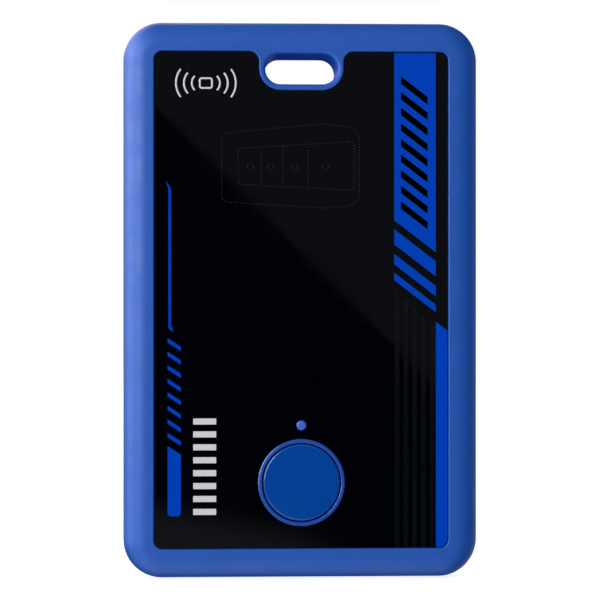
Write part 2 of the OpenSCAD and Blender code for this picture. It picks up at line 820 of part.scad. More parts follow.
module cover_screws() color("silver") upright() at_bosses() difference() {
    union() {
        translate([0, 0, head_sink]) cylinder(r = head_r, h = head_t);
        translate([0, 0, head_sink]) cylinder(r = shank_r, h = screw_tip - head_sink);
    }
    for (turn = [0, 90]) rotate([0, 0, turn])
        block([recess_cross_l, recess_cross_w, recess_cross_depth + cut], 0, 0, head_sink - cut);
}

module threaded_inserts() color("darkgoldenrod") upright() at_bosses()
    ring(insert_r, shank_r + play, board_top, board_top + insert_l);

module battery_door() color("dimgray") upright() translate([0, cell_y, 0]) {
    difference() {
        translate([0, 0, door_sink]) cylinder(r = door_r, h = door_t);
        translate([0, 0, door_sink - cut]) linear_extrude(coin_slot_depth + cut)
            obround(coin_slot_l, coin_slot_w);
        translate([0, door_r - mark_step, door_sink - cut])
            cylinder(r = mark_r, h = mark_depth + cut);
    }
    ring(skirt_out_r, skirt_in_r, door_inside - door_t / 2, skirt_end);
    for (lug = [0:lug_count - 1]) {
        locked = lug_first + lug * 360 / lug_count;
        ring_part(lug_out_r, skirt_out_r - skirt_t / 2, lug_z, skirt_end,
            locked - lug_half, locked + lug_half);
    }
}

module door_seal() color("black") upright() translate([0, cell_y, 0])
    ring(seal_in_r + seal_w, seal_in_r, door_inside, door_inside + seal_t);

front_frame();
front_panel();
panel_adhesive();
button_ring();
button_retainer();
button_cap();
switch_body();
switch_plunger();
light_pipe();
led_chip();
main_board();
radio_module();
chip_antenna();
controller_chip();
reader_chip();
power_chip();
crystal();
passives();
nfc_antenna();
ferrite_sheet();
antenna_springs();
cell_holder();
coin_cell();
positive_contact();
negative_contact();
piezo_disc();
piezo_springs();
sound_mesh();
rear_cover();
cover_gasket();
cover_screws();
threaded_inserts();
battery_door();
door_seal();
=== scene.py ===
# %% [markdown]
# # A card-shaped tracker tag
# The real object is a plastic card about as tall as a credit card is long. A blue moulded frame
# holds a glossy black front panel with printed graphics, a round push button and a small
# indicator lens. A slot at the top takes a lanyard, and a coin-turned door at the back opens the
# battery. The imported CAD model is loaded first, because every piece made here is placed from it.

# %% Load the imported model
import bpy
import bmesh
import json
import math
from mathutils import Matrix, Vector


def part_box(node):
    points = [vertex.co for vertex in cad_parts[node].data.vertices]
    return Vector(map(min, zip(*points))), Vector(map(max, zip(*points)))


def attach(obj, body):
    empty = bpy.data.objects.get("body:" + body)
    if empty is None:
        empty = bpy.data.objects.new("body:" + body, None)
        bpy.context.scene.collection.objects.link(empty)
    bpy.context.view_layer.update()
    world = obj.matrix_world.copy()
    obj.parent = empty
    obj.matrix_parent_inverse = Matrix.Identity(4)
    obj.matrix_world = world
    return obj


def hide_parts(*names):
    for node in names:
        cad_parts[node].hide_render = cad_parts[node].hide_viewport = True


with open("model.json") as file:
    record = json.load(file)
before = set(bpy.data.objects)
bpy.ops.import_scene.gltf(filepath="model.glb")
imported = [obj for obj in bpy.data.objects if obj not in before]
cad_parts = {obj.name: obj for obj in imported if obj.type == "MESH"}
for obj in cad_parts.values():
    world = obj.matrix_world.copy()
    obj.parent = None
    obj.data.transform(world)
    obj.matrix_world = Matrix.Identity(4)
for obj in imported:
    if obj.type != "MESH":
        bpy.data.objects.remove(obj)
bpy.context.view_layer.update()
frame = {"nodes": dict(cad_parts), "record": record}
nodes = frame["nodes"]
MM = 0.001
print("nodes:", len(nodes))

# %% [markdown]
# Places come from the CAD nodes' boxes, so nothing has to be fitted by eye. The front faces -Y
# and the top is +Z. The panel's own middle is the origin for the printed graphics.

# %% Places taken from the frame
panel_low, panel_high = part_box("front_panel")
case_low, case_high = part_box("front_frame")
cap_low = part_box("button_cap")[0]
cover_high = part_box("rear_cover")[1]
lens_low, lens_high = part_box("light_pipe")
door_low, door_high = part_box("battery_door")
card_mid = (case_low + case_high) / 2
panel_mid = (panel_low + panel_high) / 2
panel_face = panel_low.y
lens_at = (lens_low + lens_high) / 2
door_at = (door_low + door_high) / 2
print("card middle (mm):", [round(v / MM, 2) for v in card_mid])
print("panel face y (mm):", round(panel_face / MM, 3))

# %% [markdown]
# ## Camera
# The card is seen square on, from a little to its left, with its edges upright in the view. This
# comes from a camera that stands to one side and shifts its lens sideways instead of turning all
# the way. A camera that only turned would make the far edge shorter than the near one. Part of
# the turn is kept, so the shift stays small.

# %% Camera
CAMERA_SIDE = -15.9 * MM
CAMERA_DISTANCE = 260 * MM
CAMERA_TURN = math.radians(1.8)
HALF_VIEW = 47.6 * MM
SENSOR = 36.0

camera_data = bpy.data.cameras.new("camera")
camera = bpy.data.objects.new("camera", camera_data)
bpy.context.scene.collection.objects.link(camera)
camera.location = (CAMERA_SIDE, card_mid.y - CAMERA_DISTANCE, card_mid.z)
camera.rotation_euler = (math.pi / 2, 0, -CAMERA_TURN)
camera_data.sensor_width = SENSOR
camera_data.lens = SENSOR * CAMERA_DISTANCE / (2 * HALF_VIEW)
aim = math.atan2(card_mid.x - CAMERA_SIDE, CAMERA_DISTANCE)
camera_data.shift_x = math.tan(aim - CAMERA_TURN) * camera_data.lens / SENSOR
camera_data.clip_start = 0.01
bpy.context.scene.camera = camera
print("lens (mm):", round(camera_data.lens, 1), "shift:", round(camera_data.shift_x, 3))

# %% [markdown]
# ## Studio
# Plastic this plain is described by light alone. Light from the left gives the rim its pale edge,
# an even surround fills the rest, and a dark room ahead keeps the glossy front black. A dozen
# lamps and cards could do it, but a world shader does it in one place: it is white where the
# camera sees it, soft where it lights the card, and patchy where the gloss mirrors it.

# %% World tree
world = bpy.data.worlds.new("studio")
bpy.context.scene.world = world
world.use_nodes = True
wn = world.node_tree.nodes
wl = world.node_tree.links
wn.clear()
print("world:", world.name)

# %% [markdown]
# Node trees read like sums when each node takes its values as it is made. These helpers serve the
# world, the finishes and the recipes alike, so they are written once, here.

# %% Helpers for node trees


def wire(links, source, target):
    """Joins an output socket to an input socket, or sets a plain value on it."""
    if isinstance(source, bpy.types.NodeSocket):
        links.new(source, target)
    else:
        target.default_value = source
    return target


def figure(tree, operation, *values):
    """One Math node with its values wired in, for readable sums in a node tree."""
    node = tree.nodes.new("ShaderNodeMath")
    node.operation = operation
    for slot_index, value in enumerate(values):
        wire(tree.links, value, node.inputs[slot_index])
    return node.outputs[0]


def between(tree, value, low, high, out_low=0.0, out_high=1.0, smooth=True):
    """A Map Range node: value from low to high becomes out_low to out_high."""
    node = tree.nodes.new("ShaderNodeMapRange")
    node.interpolation_type = "SMOOTHSTEP" if smooth else "LINEAR"
    wire(tree.links, value, node.inputs["Value"])
    node.inputs["From Min"].default_value = low
    node.inputs["From Max"].default_value = high
    node.inputs["To Min"].default_value = out_low
    node.inputs["To Max"].default_value = out_high
    return node.outputs["Result"]


print("node tree helpers ready")

# %% [markdown]
# Which way a ray looks is all the world shader knows of it. Its three parts tell how far the ray
# points to the right, to the back and up, and every patch of light below is drawn with them.

# %% Ways to look
heading = wn.new("ShaderNodeTexCoord")
split = wn.new("ShaderNodeSeparateXYZ")
wl.new(heading.outputs["Generated"], split.inputs[0])
east = split.outputs["X"]
north = split.outputs["Y"]
up = split.outputs["Z"]
studio = world.node_tree
print("ways to look: east, north and up, from", heading.name)

# %% [markdown]
# Plastic gets most of its light from the fill, which only diffuse rays see. It is strongest from
# the front and falls off towards both sides and the back, so the rims turn darker than the face.
# Area lights could do this too, but each would add its own soft shadow. The fill adds none.

# %% Fill
FILL_LEVEL = 0.44
FILL_BACK = -0.10
FILL_RIGHT = -0.34
FILL_LEFT = 0.30
fill = figure(studio, "MULTIPLY_ADD", north, FILL_BACK, FILL_LEVEL)
fill = figure(studio, "MULTIPLY_ADD", figure(studio, "MAXIMUM", east, 0.0), FILL_RIGHT, fill)
fill = figure(studio, "MULTIPLY_ADD", figure(studio, "MINIMUM", east, 0.0), FILL_LEFT, fill)
print("fill straight ahead:", FILL_LEVEL - FILL_BACK)

# %% [markdown]
# Gloss mirrors what stands around the card. At the left is a tall pale wall, all round it a softer
# surround that leaves the right side out, and high at the left a small spark that draws the short
# white streak on the button's edge. A pale panel behind serves the rear view only. Each patch is
# a product of ramps across the three directions, and the brightest patch wins.

# %% Patches that gloss mirrors at the sides
WALL_LIGHT = 2.6
SURROUND_LIGHT = 0.5
SPARK_LIGHT = 7.0
BEHIND_LIGHT = 1.1
wall = between(studio, east, -0.35, -0.85, 0.0, WALL_LIGHT)
wall = figure(studio, "MULTIPLY", wall, between(studio, up, -0.35, 0.35, 0.0, 2.0))
wall = figure(studio, "MULTIPLY", wall, between(studio, north, 0.9, -0.1, 0.25, 1.0))
surround = between(studio, north, -0.965, -0.78, 0.0, SURROUND_LIGHT)
surround = figure(studio, "MULTIPLY", surround, between(studio, east, 0.55, -0.05))
surround = figure(studio, "MULTIPLY", surround, between(studio, up, -0.15, -0.5, 1.0, 3.0))
surround = figure(studio, "MULTIPLY", surround, between(studio, north, 0.6, -0.2, 0.0, 1.0))
spark = figure(studio, "MULTIPLY", between(studio, east, -0.62, -0.80, 0.0, SPARK_LIGHT),
               between(studio, north, -0.05, -0.20))
spark = figure(studio, "MULTIPLY", spark, between(studio, up, 0.20, 0.30))
spark = figure(studio, "MULTIPLY", spark, between(studio, up, 0.52, 0.42))
behind = figure(studio, "MULTIPLY", between(studio, north, 0.40, 0.70, 0.0, BEHIND_LIGHT),
                between(studio, up, -0.10, -0.32))
behind = figure(studio, "MULTIPLY", behind, between(studio, east, 0.25, 0.60))
beside = figure(studio, "MAXIMUM", figure(studio, "MAXIMUM", wall, spark),
                figure(studio, "MAXIMUM", surround, behind))
print("brightest patch:", max(WALL_LIGHT, SURROUND_LIGHT, SPARK_LIGHT, BEHIND_LIGHT))

# %% [markdown]
# Straight ahead the room is dark but for one dim slanted panel, whose mirror image is the diagonal
# sheen across the black front, and a low glow under it. Dividing by the forward part turns a
# direction into a place on a flat wall, so the sheen's edge is a straight line.

# %% Sheen and glow straight ahead
SHEEN_LIGHT = 0.095
GLOW_LIGHT = 0.16
forward = figure(studio, "MAXIMUM", figure(studio, "MULTIPLY", north, -1.0), 0.05)
across = figure(studio, "DIVIDE", east, forward)
rise = figure(studio, "DIVIDE", up, forward)
sheen = between(studio, figure(studio, "ADD", across, rise), 0.0895, 0.0925, 0.0, SHEEN_LIGHT)
low_edge = figure(studio, "MULTIPLY_ADD", across, 0.2, rise)
glow = figure(studio, "MULTIPLY", between(studio, low_edge, -0.119, -0.145, 0.0, GLOW_LIGHT),
              between(studio, across, 0.105, 0.05))
ahead = figure(studio, "MULTIPLY", figure(studio, "MAXIMUM", sheen, glow),
               between(studio, north, -0.2, -0.5))
mirrored = figure(studio, "ADD", beside, ahead)
print("world nodes so far:", len(wn))

# %% [markdown]
# The Light Path node tells the kinds of ray apart, so one background can be white for the camera,
# soft for diffuse rays and patchy for glossy ones. Three worlds could not be used at once.

# %% World output
rays = wn.new("ShaderNodeLightPath")
glossy_part = figure(studio, "MULTIPLY", rays.outputs["Is Glossy Ray"], mirrored)
fill_part = figure(studio, "MULTIPLY", rays.outputs["Is Diffuse Ray"], fill)
seen_part = figure(studio, "ADD", glossy_part, rays.outputs["Is Camera Ray"])
background = wn.new("ShaderNodeBackground")
background.inputs["Color"].default_value = (1.0, 1.0, 1.0, 1.0)
wl.new(figure(studio, "ADD", fill_part, seen_part), background.inputs["Strength"])
world_out = wn.new("ShaderNodeOutputWorld")
wl.new(background.outputs[0], world_out.inputs[0])
bpy.context.scene.view_settings.view_transform = "Standard"
print("world nodes:", len(wn))

# %% [markdown]
# The soft boxes are area lights. Each is placed by the direction it stands in, as seen from the
# card, and by its distance. They give the soft shading across the rims that an even fill lacks.
# The rim box only lights and the side box only shines, so the right rim stays a deep blue while
# the left one goes pale.

# %% Soft boxes


def soft_box(name, side, height, distance, size, power, gloss_too=True, fill_too=True):
    """An area light at an angle to the side of the front and above it, aimed at the card."""
    light = bpy.data.lights.new(name, "AREA")
    light.shape = "RECTANGLE"
    light.size = size[0]
    light.size_y = size[1]
    light.energy = power
    box = bpy.data.objects.new(name, light)
    bpy.context.scene.collection.objects.link(box)
    way = Vector((
        math.sin(side) * math.cos(height),
        -math.cos(side) * math.cos(height),
        math.sin(height),
    ))
    box.location = card_mid + way * distance
    box.rotation_euler = (-way).to_track_quat("-Z", "Y").to_euler()
    box.visible_glossy = gloss_too
    box.visible_diffuse = fill_too
    return box


soft_box("key_box", math.radians(-38), math.radians(14), 0.62, (0.3, 0.4), 1.75)
soft_box("back_box", math.radians(205), math.radians(35), 0.7, (0.5, 0.4), 1.6)
soft_box("rim_box", math.radians(120), 0.0, 0.62, (0.3, 0.5), 1.8, gloss_too=False)
soft_box("side_box", math.radians(-88), math.radians(4), 0.62, (0.3, 0.6), 1.5, fill_too=False)

# %% [markdown]
# A mesh can be made from plain lists of points and faces, and most finishes are one Principled
# shader. These three helpers do both, and everything below is built on them.

# %% Helpers for meshes and finishes


def mesh_object(name, points, faces, material=None):
    """A mesh object made from plain lists, in place, with its object at the origin."""
    mesh = bpy.data.meshes.new(name)
    mesh.from_pydata(points, [], faces)
    mesh.validate()
    thing = bpy.data.objects.new(name, mesh)
    bpy.context.scene.collection.objects.link(thing)
    if material is not None:
        mesh.materials.append(material)
    return thing


def new_finish(name, colour, roughness):
    """A material with one Principled shader; the constant values sit on the shader itself."""
    material = bpy.data.materials.new(name)
    material.use_nodes = True
    shader = material.node_tree.nodes["Principled BSDF"]
    shader.inputs["Base Color"].default_value = (*colour, 1.0)
    shader.inputs["Roughness"].default_value = roughness
    return material


def shader_of(material):
    """The shader of a finish."""
    return material.node_tree.nodes["Principled BSDF"]


print("mesh and finish helpers ready")

# %% [markdown]
# The floor is a plain white sheet just under the card. A shadow catcher would do as well, but a
# sheet that glows a little keeps the soft shadow pale and needs no second pass.

# %% Floor
FLOOR_HALF = 3.0
FLOOR_GAP = 0.1 * MM
FLOOR_GLOW = 0.78
paper = new_finish("studio_paper", (0.62, 0.62, 0.62), 0.9)
shader_of(paper).inputs["Emission Color"].default_value = (1.0, 1.0, 1.0, 1.0)
shader_of(paper).inputs["Emission Strength"].default_value = FLOOR_GLOW
floor_z = case_low.z - FLOOR_GAP
floor = mesh_object("studio_floor", [
    (-FLOOR_HALF, -FLOOR_HALF, floor_z),
    (FLOOR_HALF, -FLOOR_HALF, floor_z),
    (FLOOR_HALF, FLOOR_HALF, floor_z),
    (-FLOOR_HALF, FLOOR_HALF, floor_z),
], [(0, 1, 2, 3)], paper)
floor.visible_glossy = False
floor.visible_diffuse = False
print("floor z (mm):", round(floor_z / MM, 2))

# %% [markdown]
# ## Finishes
# Moulded plastic is never one flat colour. Its pigment drifts a little, its skin has a fine
# spark-eroded grain, and its gloss varies where hands and tooling have touched it. Three small
# helpers add those layers to any finish, all on Object coordinates, so they stay at real size.

# %% Coordinates and noise


def object_coords(material):
    """The Object coordinates of a finish, made once and shared by its layers."""
    tree = material.node_tree
    found = tree.nodes.get("coords")
    if found is None:
        found = tree.nodes.new("ShaderNodeTexCoord")
        found.name = "coords"
    return found.outputs["Object"]


def noise_layer(material, size, detail=2.0, stretch=(1, 1, 1)):
    """Noise with features of a given size in metres, stretched along an axis if asked."""
    tree = material.node_tree
    turn = tree.nodes.new("ShaderNodeMapping")
    turn.inputs["Scale"].default_value = stretch
    tree.links.new(object_coords(material), turn.inputs["Vector"])
    noise = tree.nodes.new("ShaderNodeTexNoise")
    noise.inputs["Scale"].default_value = 1.0 / size
    noise.inputs["Detail"].default_value = detail
    tree.links.new(turn.outputs[0], noise.inputs["Vector"])
    return noise.outputs["Fac"]


print("noise is counted in metres, so", 1 / MM, "is a grain of one millimetre")

# %% [markdown]
# The first layer is colour. Noise becomes a grey a little above and below 1, and it multiplies
# whatever colour is already there, so several drifts of different size can be stacked.

# %% Colour drift


def drift(material, size, spread, detail=2.0, stretch=(1, 1, 1)):
    """Lets the colour drift lighter and darker by a share of itself."""
    tree = material.node_tree
    socket = shader_of(material).inputs["Base Color"]
    mix = tree.nodes.new("ShaderNodeMix")
    mix.data_type = "RGBA"
    mix.blend_type = "MULTIPLY"
    mix.inputs["Factor"].default_value = 1.0
    if socket.links:
        tree.links.new(socket.links[0].from_socket, mix.inputs["A"])
    else:
        mix.inputs["A"].default_value = socket.default_value[:]
    tone = between(tree, noise_layer(material, size, detail, stretch),
                   0.3, 0.7, 1.0 - spread, 1.0 + spread)
    grey = tree.nodes.new("ShaderNodeCombineColor")
    for channel in ("Red", "Green", "Blue"):
        tree.links.new(tone, grey.inputs[channel])
    tree.links.new(grey.outputs[0], mix.inputs["B"])
    tree.links.new(mix.outputs["Result"], socket)


print("colour drift ready")

# %% [markdown]
# The other two layers change how light leaves the skin: a fine relief tilts the normal, and the
# roughness wanders between two values. Real relief would need millions of faces, and a bump node
# needs none. Constants go straight onto the shader's sockets.

# %% Relief, gloss and constant values


def grain(material, size, depth, detail=2.0, stretch=(1, 1, 1)):
    """A fine relief of a given size and depth in metres, added on top of any other."""
    tree = material.node_tree
    socket = shader_of(material).inputs["Normal"]
    bump = tree.nodes.new("ShaderNodeBump")
    bump.inputs["Distance"].default_value = depth
    tree.links.new(noise_layer(material, size, detail, stretch), bump.inputs["Height"])
    if socket.links:
        tree.links.new(socket.links[0].from_socket, bump.inputs["Normal"])
    tree.links.new(bump.outputs[0], socket)


def gloss(material, size, low, high, detail=2.0, stretch=(1, 1, 1)):
    """Roughness that wanders between two values."""
    tree = material.node_tree
    value = between(tree, noise_layer(material, size, detail, stretch), 0.3, 0.7, low, high)
    tree.links.new(value, shader_of(material).inputs["Roughness"])


def set_on(material, **values):
    """Sets constant values on the shader's own sockets, named with _ for a space."""
    for key, value in values.items():
        shader_of(material).inputs[key.replace("_", " ")].default_value = value
    return material


def wear(thing, material):
    """Gives an object one finish in all its material slots."""
    if not thing.data.materials:
        thing.data.materials.append(material)
    for place in thing.material_slots:
        place.material = material


print("layers ready")

# %% [markdown]
# The frame is a satin blue, moulded in a tool with a fine spark-eroded texture: rough enough
# that the soft box spreads into a broad pale band instead of a hard line.

# %% Frame and button finishes
frame_blue = new_finish("frame_blue_satin", (0.003, 0.105, 0.575), 0.44)
drift(frame_blue, 6 * MM, 0.03)
gloss(frame_blue, 2.5 * MM, 0.42, 0.50)
grain(frame_blue, 0.22 * MM, 0.004 * MM)
set_on(frame_blue, Specular_IOR_Level=0.6)

ring_blue = new_finish("ring_blue_gloss", (0.016, 0.098, 0.55), 0.22)
gloss(ring_blue, 0.8 * MM, 0.18, 0.28)
grain(ring_blue, 0.5 * MM, 0.002 * MM)

cap_blue = new_finish("cap_blue_satin", (0.0003, 0.076, 0.44), 0.09)
drift(cap_blue, 1.6 * MM, 0.05, 3.0)
gloss(cap_blue, 1.2 * MM, 0.07, 0.11)
grain(cap_blue, 0.18 * MM, 0.0025 * MM)

panel_black = new_finish("panel_black_gloss", (0.0003, 0.0008, 0.0030), 0.04)
gloss(panel_black, 5 * MM, 0.02, 0.05)
grain(panel_black, 4 * MM, 0.0004 * MM, 1.0)

print("finishes:", [m.name for m in bpy.data.materials])

# %% [markdown]
# The graphics are screen-printed inks: a strong blue, a cool white, a near-black for marks on the
# blue, and greys that are only a shade lighter than the panel. A picture on the panel could carry
# them, but ink that is a finish of its own stays sharp from any distance.

# %% Ink finishes
ink_blue = new_finish("ink_blue", (0.0004, 0.069, 0.635), 0.05)
set_on(ink_blue, Specular_IOR_Level=0.1)
gloss(ink_blue, 3 * MM, 0.03, 0.07)
drift(ink_blue, 0.35 * MM, 0.03)
ink_white = new_finish("ink_white", (0.86, 0.87, 0.90), 0.12)
drift(ink_white, 0.3 * MM, 0.03)
gloss(ink_white, 1.5 * MM, 0.08, 0.16)
ink_grey = new_finish("ink_grey", (0.0035, 0.0045, 0.0085), 0.09)
drift(ink_grey, 0.5 * MM, 0.15)
gloss(ink_grey, 1.5 * MM, 0.06, 0.12)
ink_dot = new_finish("ink_dot", (0.022, 0.022, 0.018), 0.12)
drift(ink_dot, 0.3 * MM, 0.2)
gloss(ink_dot, 1.0 * MM, 0.08, 0.16)
ink_faint = new_finish("ink_faint", (0.0065, 0.0065, 0.0070), 0.35)
set_on(ink_faint, Specular_IOR_Level=0.15)
drift(ink_faint, 0.3 * MM, 0.2)
gloss(ink_faint, 1.0 * MM, 0.30, 0.40)
ink_dark = new_finish("ink_dark", (0.0006, 0.0012, 0.0060), 0.07)
drift(ink_dark, 0.5 * MM, 0.1)
gloss(ink_dark, 2 * MM, 0.05, 0.09)
print("inks:", [m.name for m in bpy.data.materials if m.name.startswith("ink")])

# %% [markdown]
# ## Printed shapes
# Real ink has a thickness, less than a hair's width. Each printed shape here is a closed slab
# with that little step, sunk slightly into the panel, so no two surfaces lie in one plane. A flat
# outline in millimetres, counted from the panel's middle, is all that a shape needs.

# %% Rounded outlines
INK_STEP = 0.03 * MM
INK_SINK = 0.02 * MM
CORNER_STEPS = 6


def eased(outline, radius):
    """The outline with its corners rounded; radius is one number or one for each corner."""
    count = len(outline)
    radii = [radius] * count if isinstance(radius, (int, float)) else radius
    points = []
    for index, corner in enumerate(outline):
        if radii[index] <= 0:
            points.append(tuple(corner))
            continue
        here = Vector(corner)
        before = (Vector(outline[index - 1]) - here).normalized()
        after = (Vector(outline[(index + 1) % count]) - here).normalized()
        half = before.angle(after) / 2
        reach = radii[index] / math.tan(half)
        centre = here + (before + after).normalized() * (radii[index] / math.sin(half))
        start = here + before * reach - centre
        sweep = start.angle_signed(here + after * reach - centre)
        for step in range(CORNER_STEPS + 1):
            turn = Matrix.Rotation(-sweep * step / CORNER_STEPS, 2)
            points.append(tuple(centre + turn @ start))
    return points


print("points in a round corner:", CORNER_STEPS + 1)

# %% [markdown]
# A slab joins a front and a back copy of its outline with a wall. With a second outline inside
# the first it becomes a frame with a hole. A solidify modifier on a flat face would give the same
# slab, but plain points and faces leave nothing live on the piece.

# %% Slabs on the panel


def slab_between(name, loops, front_y, back_y, material):
    """A closed slab from one outline, or from an outer and an inner one of equal length."""
    count = len(loops[0])
    points = []
    for y in (front_y, back_y):
        for loop in loops:
            points += [(panel_mid.x + x * MM, y, panel_mid.z + z * MM) for x, z in loop]
    layer = count * len(loops)
    faces = []
    for index in range(count):
        after = (index + 1) % count
        faces.append((index, index + layer, after + layer, after))
        if len(loops) == 2:
            inner, inner_after = index + count, after + count
            faces.append((inner, inner_after, inner_after + layer, inner + layer))
            faces.append((index, after, inner_after, inner))
            faces.append((index + layer, inner + layer, inner_after + layer, after + layer))
    if len(loops) == 1:
        faces.append(tuple(range(count)))
        faces.append(tuple(reversed(range(layer, 2 * layer))))
    return mesh_object(name, points, faces, material)


def printed(name, outline, material, step=INK_STEP):
    """One printed shape on the panel, riding on the card."""
    shape = slab_between(name, [outline], panel_face - step, panel_face + INK_SINK, material)
    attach(shape, "root")
    return shape


print("printed shape helpers ready")

# %% [markdown]
# The right side carries a blue band from the top edge that ends in a slant, three slanted bars
# that get thinner below it, and a strip along the edge. One slope joins them all, so it is given
# once, as the fall across the band's width.

# %% Blue band, bars and edge strip
BAND_LEFT = 14.59
BAND_RIGHT = 21.13
BAND_FALL = 5.02
BAND_END = 12.52
PRINT_MARGIN = 0.05
PANEL_TOP = (panel_high.z - panel_mid.z) / MM - PRINT_MARGIN
PANEL_FOOT = (panel_low.z - panel_mid.z) / MM + PRINT_MARGIN
PANEL_SIDE = (panel_high.x - panel_mid.x) / MM - PRINT_MARGIN
PANEL_CORNER = 1.3
BAR_TOPS = (11.12, 7.24, 4.29)
BAR_HEIGHTS = (2.39, 1.63, 1.18)
STRIP_LEFT = 21.15
STRIP_TOP = -3.41
slope = BAND_FALL / (BAND_RIGHT - BAND_LEFT)

printed("ink_band", [
    (BAND_LEFT, BAND_END),
    (BAND_RIGHT, BAND_END - BAND_FALL),
    (BAND_RIGHT, PANEL_TOP),
    (BAND_LEFT, PANEL_TOP),
], ink_blue)
for number, (top, height) in enumerate(zip(BAR_TOPS, BAR_HEIGHTS)):
    printed("ink_bar_%d" % (number + 1), [
        (BAND_LEFT, top - height),
        (BAND_RIGHT, top - height - BAND_FALL),
        (BAND_RIGHT, top - BAND_FALL),
        (BAND_LEFT, top),
    ], ink_blue)
strip_fall = slope * (PANEL_SIDE - STRIP_LEFT)
printed("ink_edge_strip", eased([
    (STRIP_LEFT, PANEL_FOOT),
    (PANEL_SIDE, PANEL_FOOT),
    (PANEL_SIDE, STRIP_TOP - strip_fall),
    (STRIP_LEFT, STRIP_TOP),
], (0, PANEL_CORNER, 0, 0)), ink_blue)
print("slope of the slant:", round(slope, 3))

# %% [markdown]
# At the left a thin line runs down the card and ends in small hooks, and a solid block with a
# slanted head closes the row of slanted ticks below it.

# %% Left line and block
LINE_LEFT = -20.82
LINE_RIGHT = -20.41
LINE_TOP = 18.70
LINE_FOOT = -5.06
HOOK_OUT = 0.42
HOOK_DROP = 1.25
BEND_RIGHT = 0.6
BEND_LEFT = 0.5
TICK_LEFT = -20.95
TICK_RIGHT = -18.88
TICK_FALL = 1.35
BLOCK_TOP = -22.82
BLOCK_FOOT = -33.80
BLOCK_CORNER = 0.47
printed("ink_left_line", eased([
    (LINE_RIGHT + HOOK_OUT, LINE_FOOT),
    (LINE_RIGHT, LINE_FOOT + HOOK_DROP),
    (LINE_RIGHT, LINE_TOP - HOOK_DROP),
    (LINE_LEFT - HOOK_OUT, LINE_TOP),
    (LINE_LEFT, LINE_TOP - HOOK_DROP),
    (LINE_LEFT, LINE_FOOT + HOOK_DROP / 2),
], (0, BEND_RIGHT, BEND_RIGHT, 0, BEND_LEFT, BEND_LEFT)), ink_blue)
printed("ink_left_block", eased([
    (TICK_LEFT, BLOCK_FOOT),
    (TICK_RIGHT, BLOCK_FOOT),
    (TICK_RIGHT, BLOCK_TOP - TICK_FALL),
    (TICK_LEFT, BLOCK_TOP),
], (BLOCK_CORNER, BLOCK_CORNER, 0, 0)), ink_blue)
print("left line length (mm):", round(LINE_TOP - LINE_FOOT, 2))

# %% [markdown]
# ## Shapes that repeat
# The rest of the graphics are rows, dots and strokes. Each kind is one Geometry Nodes recipe with
# named sizes, built here in code. Three helpers open a recipe, add a node and close it.

# %% Helpers that build a recipe


def new_recipe(name, sizes):
    """A Geometry Nodes tree with named inputs. Returns the tree, its inputs and its output."""
    tree = bpy.data.node_groups.new(name, "GeometryNodeTree")
    face = tree.interface
    face.new_socket("Geometry", in_out="OUTPUT", socket_type="NodeSocketGeometry")
    face.new_socket("Geometry", in_out="INPUT", socket_type="NodeSocketGeometry")
    for label, kind in sizes.items():
        face.new_socket(label, in_out="INPUT", socket_type="NodeSocket" + kind)
    face.new_socket("Material", in_out="INPUT", socket_type="NodeSocketMaterial")
    entry = tree.nodes.new("NodeGroupInput")
    leave = tree.nodes.new("NodeGroupOutput")
    return tree, entry.outputs, leave.inputs["Geometry"]


def put(tree, kind, settings=None, **sockets):
    """One node with its settings and its inputs by name, with _ for a space."""
    node = tree.nodes.new(kind)
    for key, value in (settings or {}).items():
        setattr(node, key, value)
    for key, value in sockets.items():
        wire(tree.links, value, node.inputs[key.replace("_", " ")])
    return node


def finish_recipe(tree, geometry, material, leave):
    """Every recipe ends alike: instances become real and take their material."""
    real = put(tree, "GeometryNodeRealizeInstances", Geometry=geometry)
    dressed = put(tree, "GeometryNodeSetMaterial", Geometry=real.outputs[0], Material=material)
    tree.links.new(dressed.outputs[0], leave)


print("recipe builders ready")

# %% [markdown]
# `cook` runs a recipe on a base mesh and keeps the result as plain mesh, because the export takes
# meshes and drops instances. `on_card` then ties the piece to the card.

# %% Helpers that run a recipe


def cook(name, tree, values, base=None):
    """Runs a recipe on a base mesh and returns the result as a new plain mesh object."""
    host = mesh_object(name + "_host", [], []) if base is None else base
    modifier = host.modifiers.new("recipe", "NODES")
    modifier.node_group = tree
    for item in tree.interface.items_tree:
        if item.in_out == "INPUT" and item.name in values:
            modifier[item.identifier] = values[item.name]
    graph = bpy.context.evaluated_depsgraph_get()
    mesh = bpy.data.meshes.new_from_object(host.evaluated_get(graph), depsgraph=graph)
    bpy.data.objects.remove(host)
    mesh.name = name
    piece = bpy.data.objects.new(name, mesh)
    bpy.context.scene.collection.objects.link(piece)
    print(name, "faces:", len(mesh.polygons))
    return piece


def on_card(piece):
    """Lets a finished piece ride on the card."""
    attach(piece, "root")
    return piece


print("recipe runners ready")

# %% [markdown]
# A row of bars serves four times: the slanted ticks at the left, the faint stripes at the right,
# and two plain rows of marks. Each bar is a thin block. After the row is laid out, every point
# slides down by the slope times its distance from the row's left edge, and none goes below the
# foot, which cuts long stripes off level.

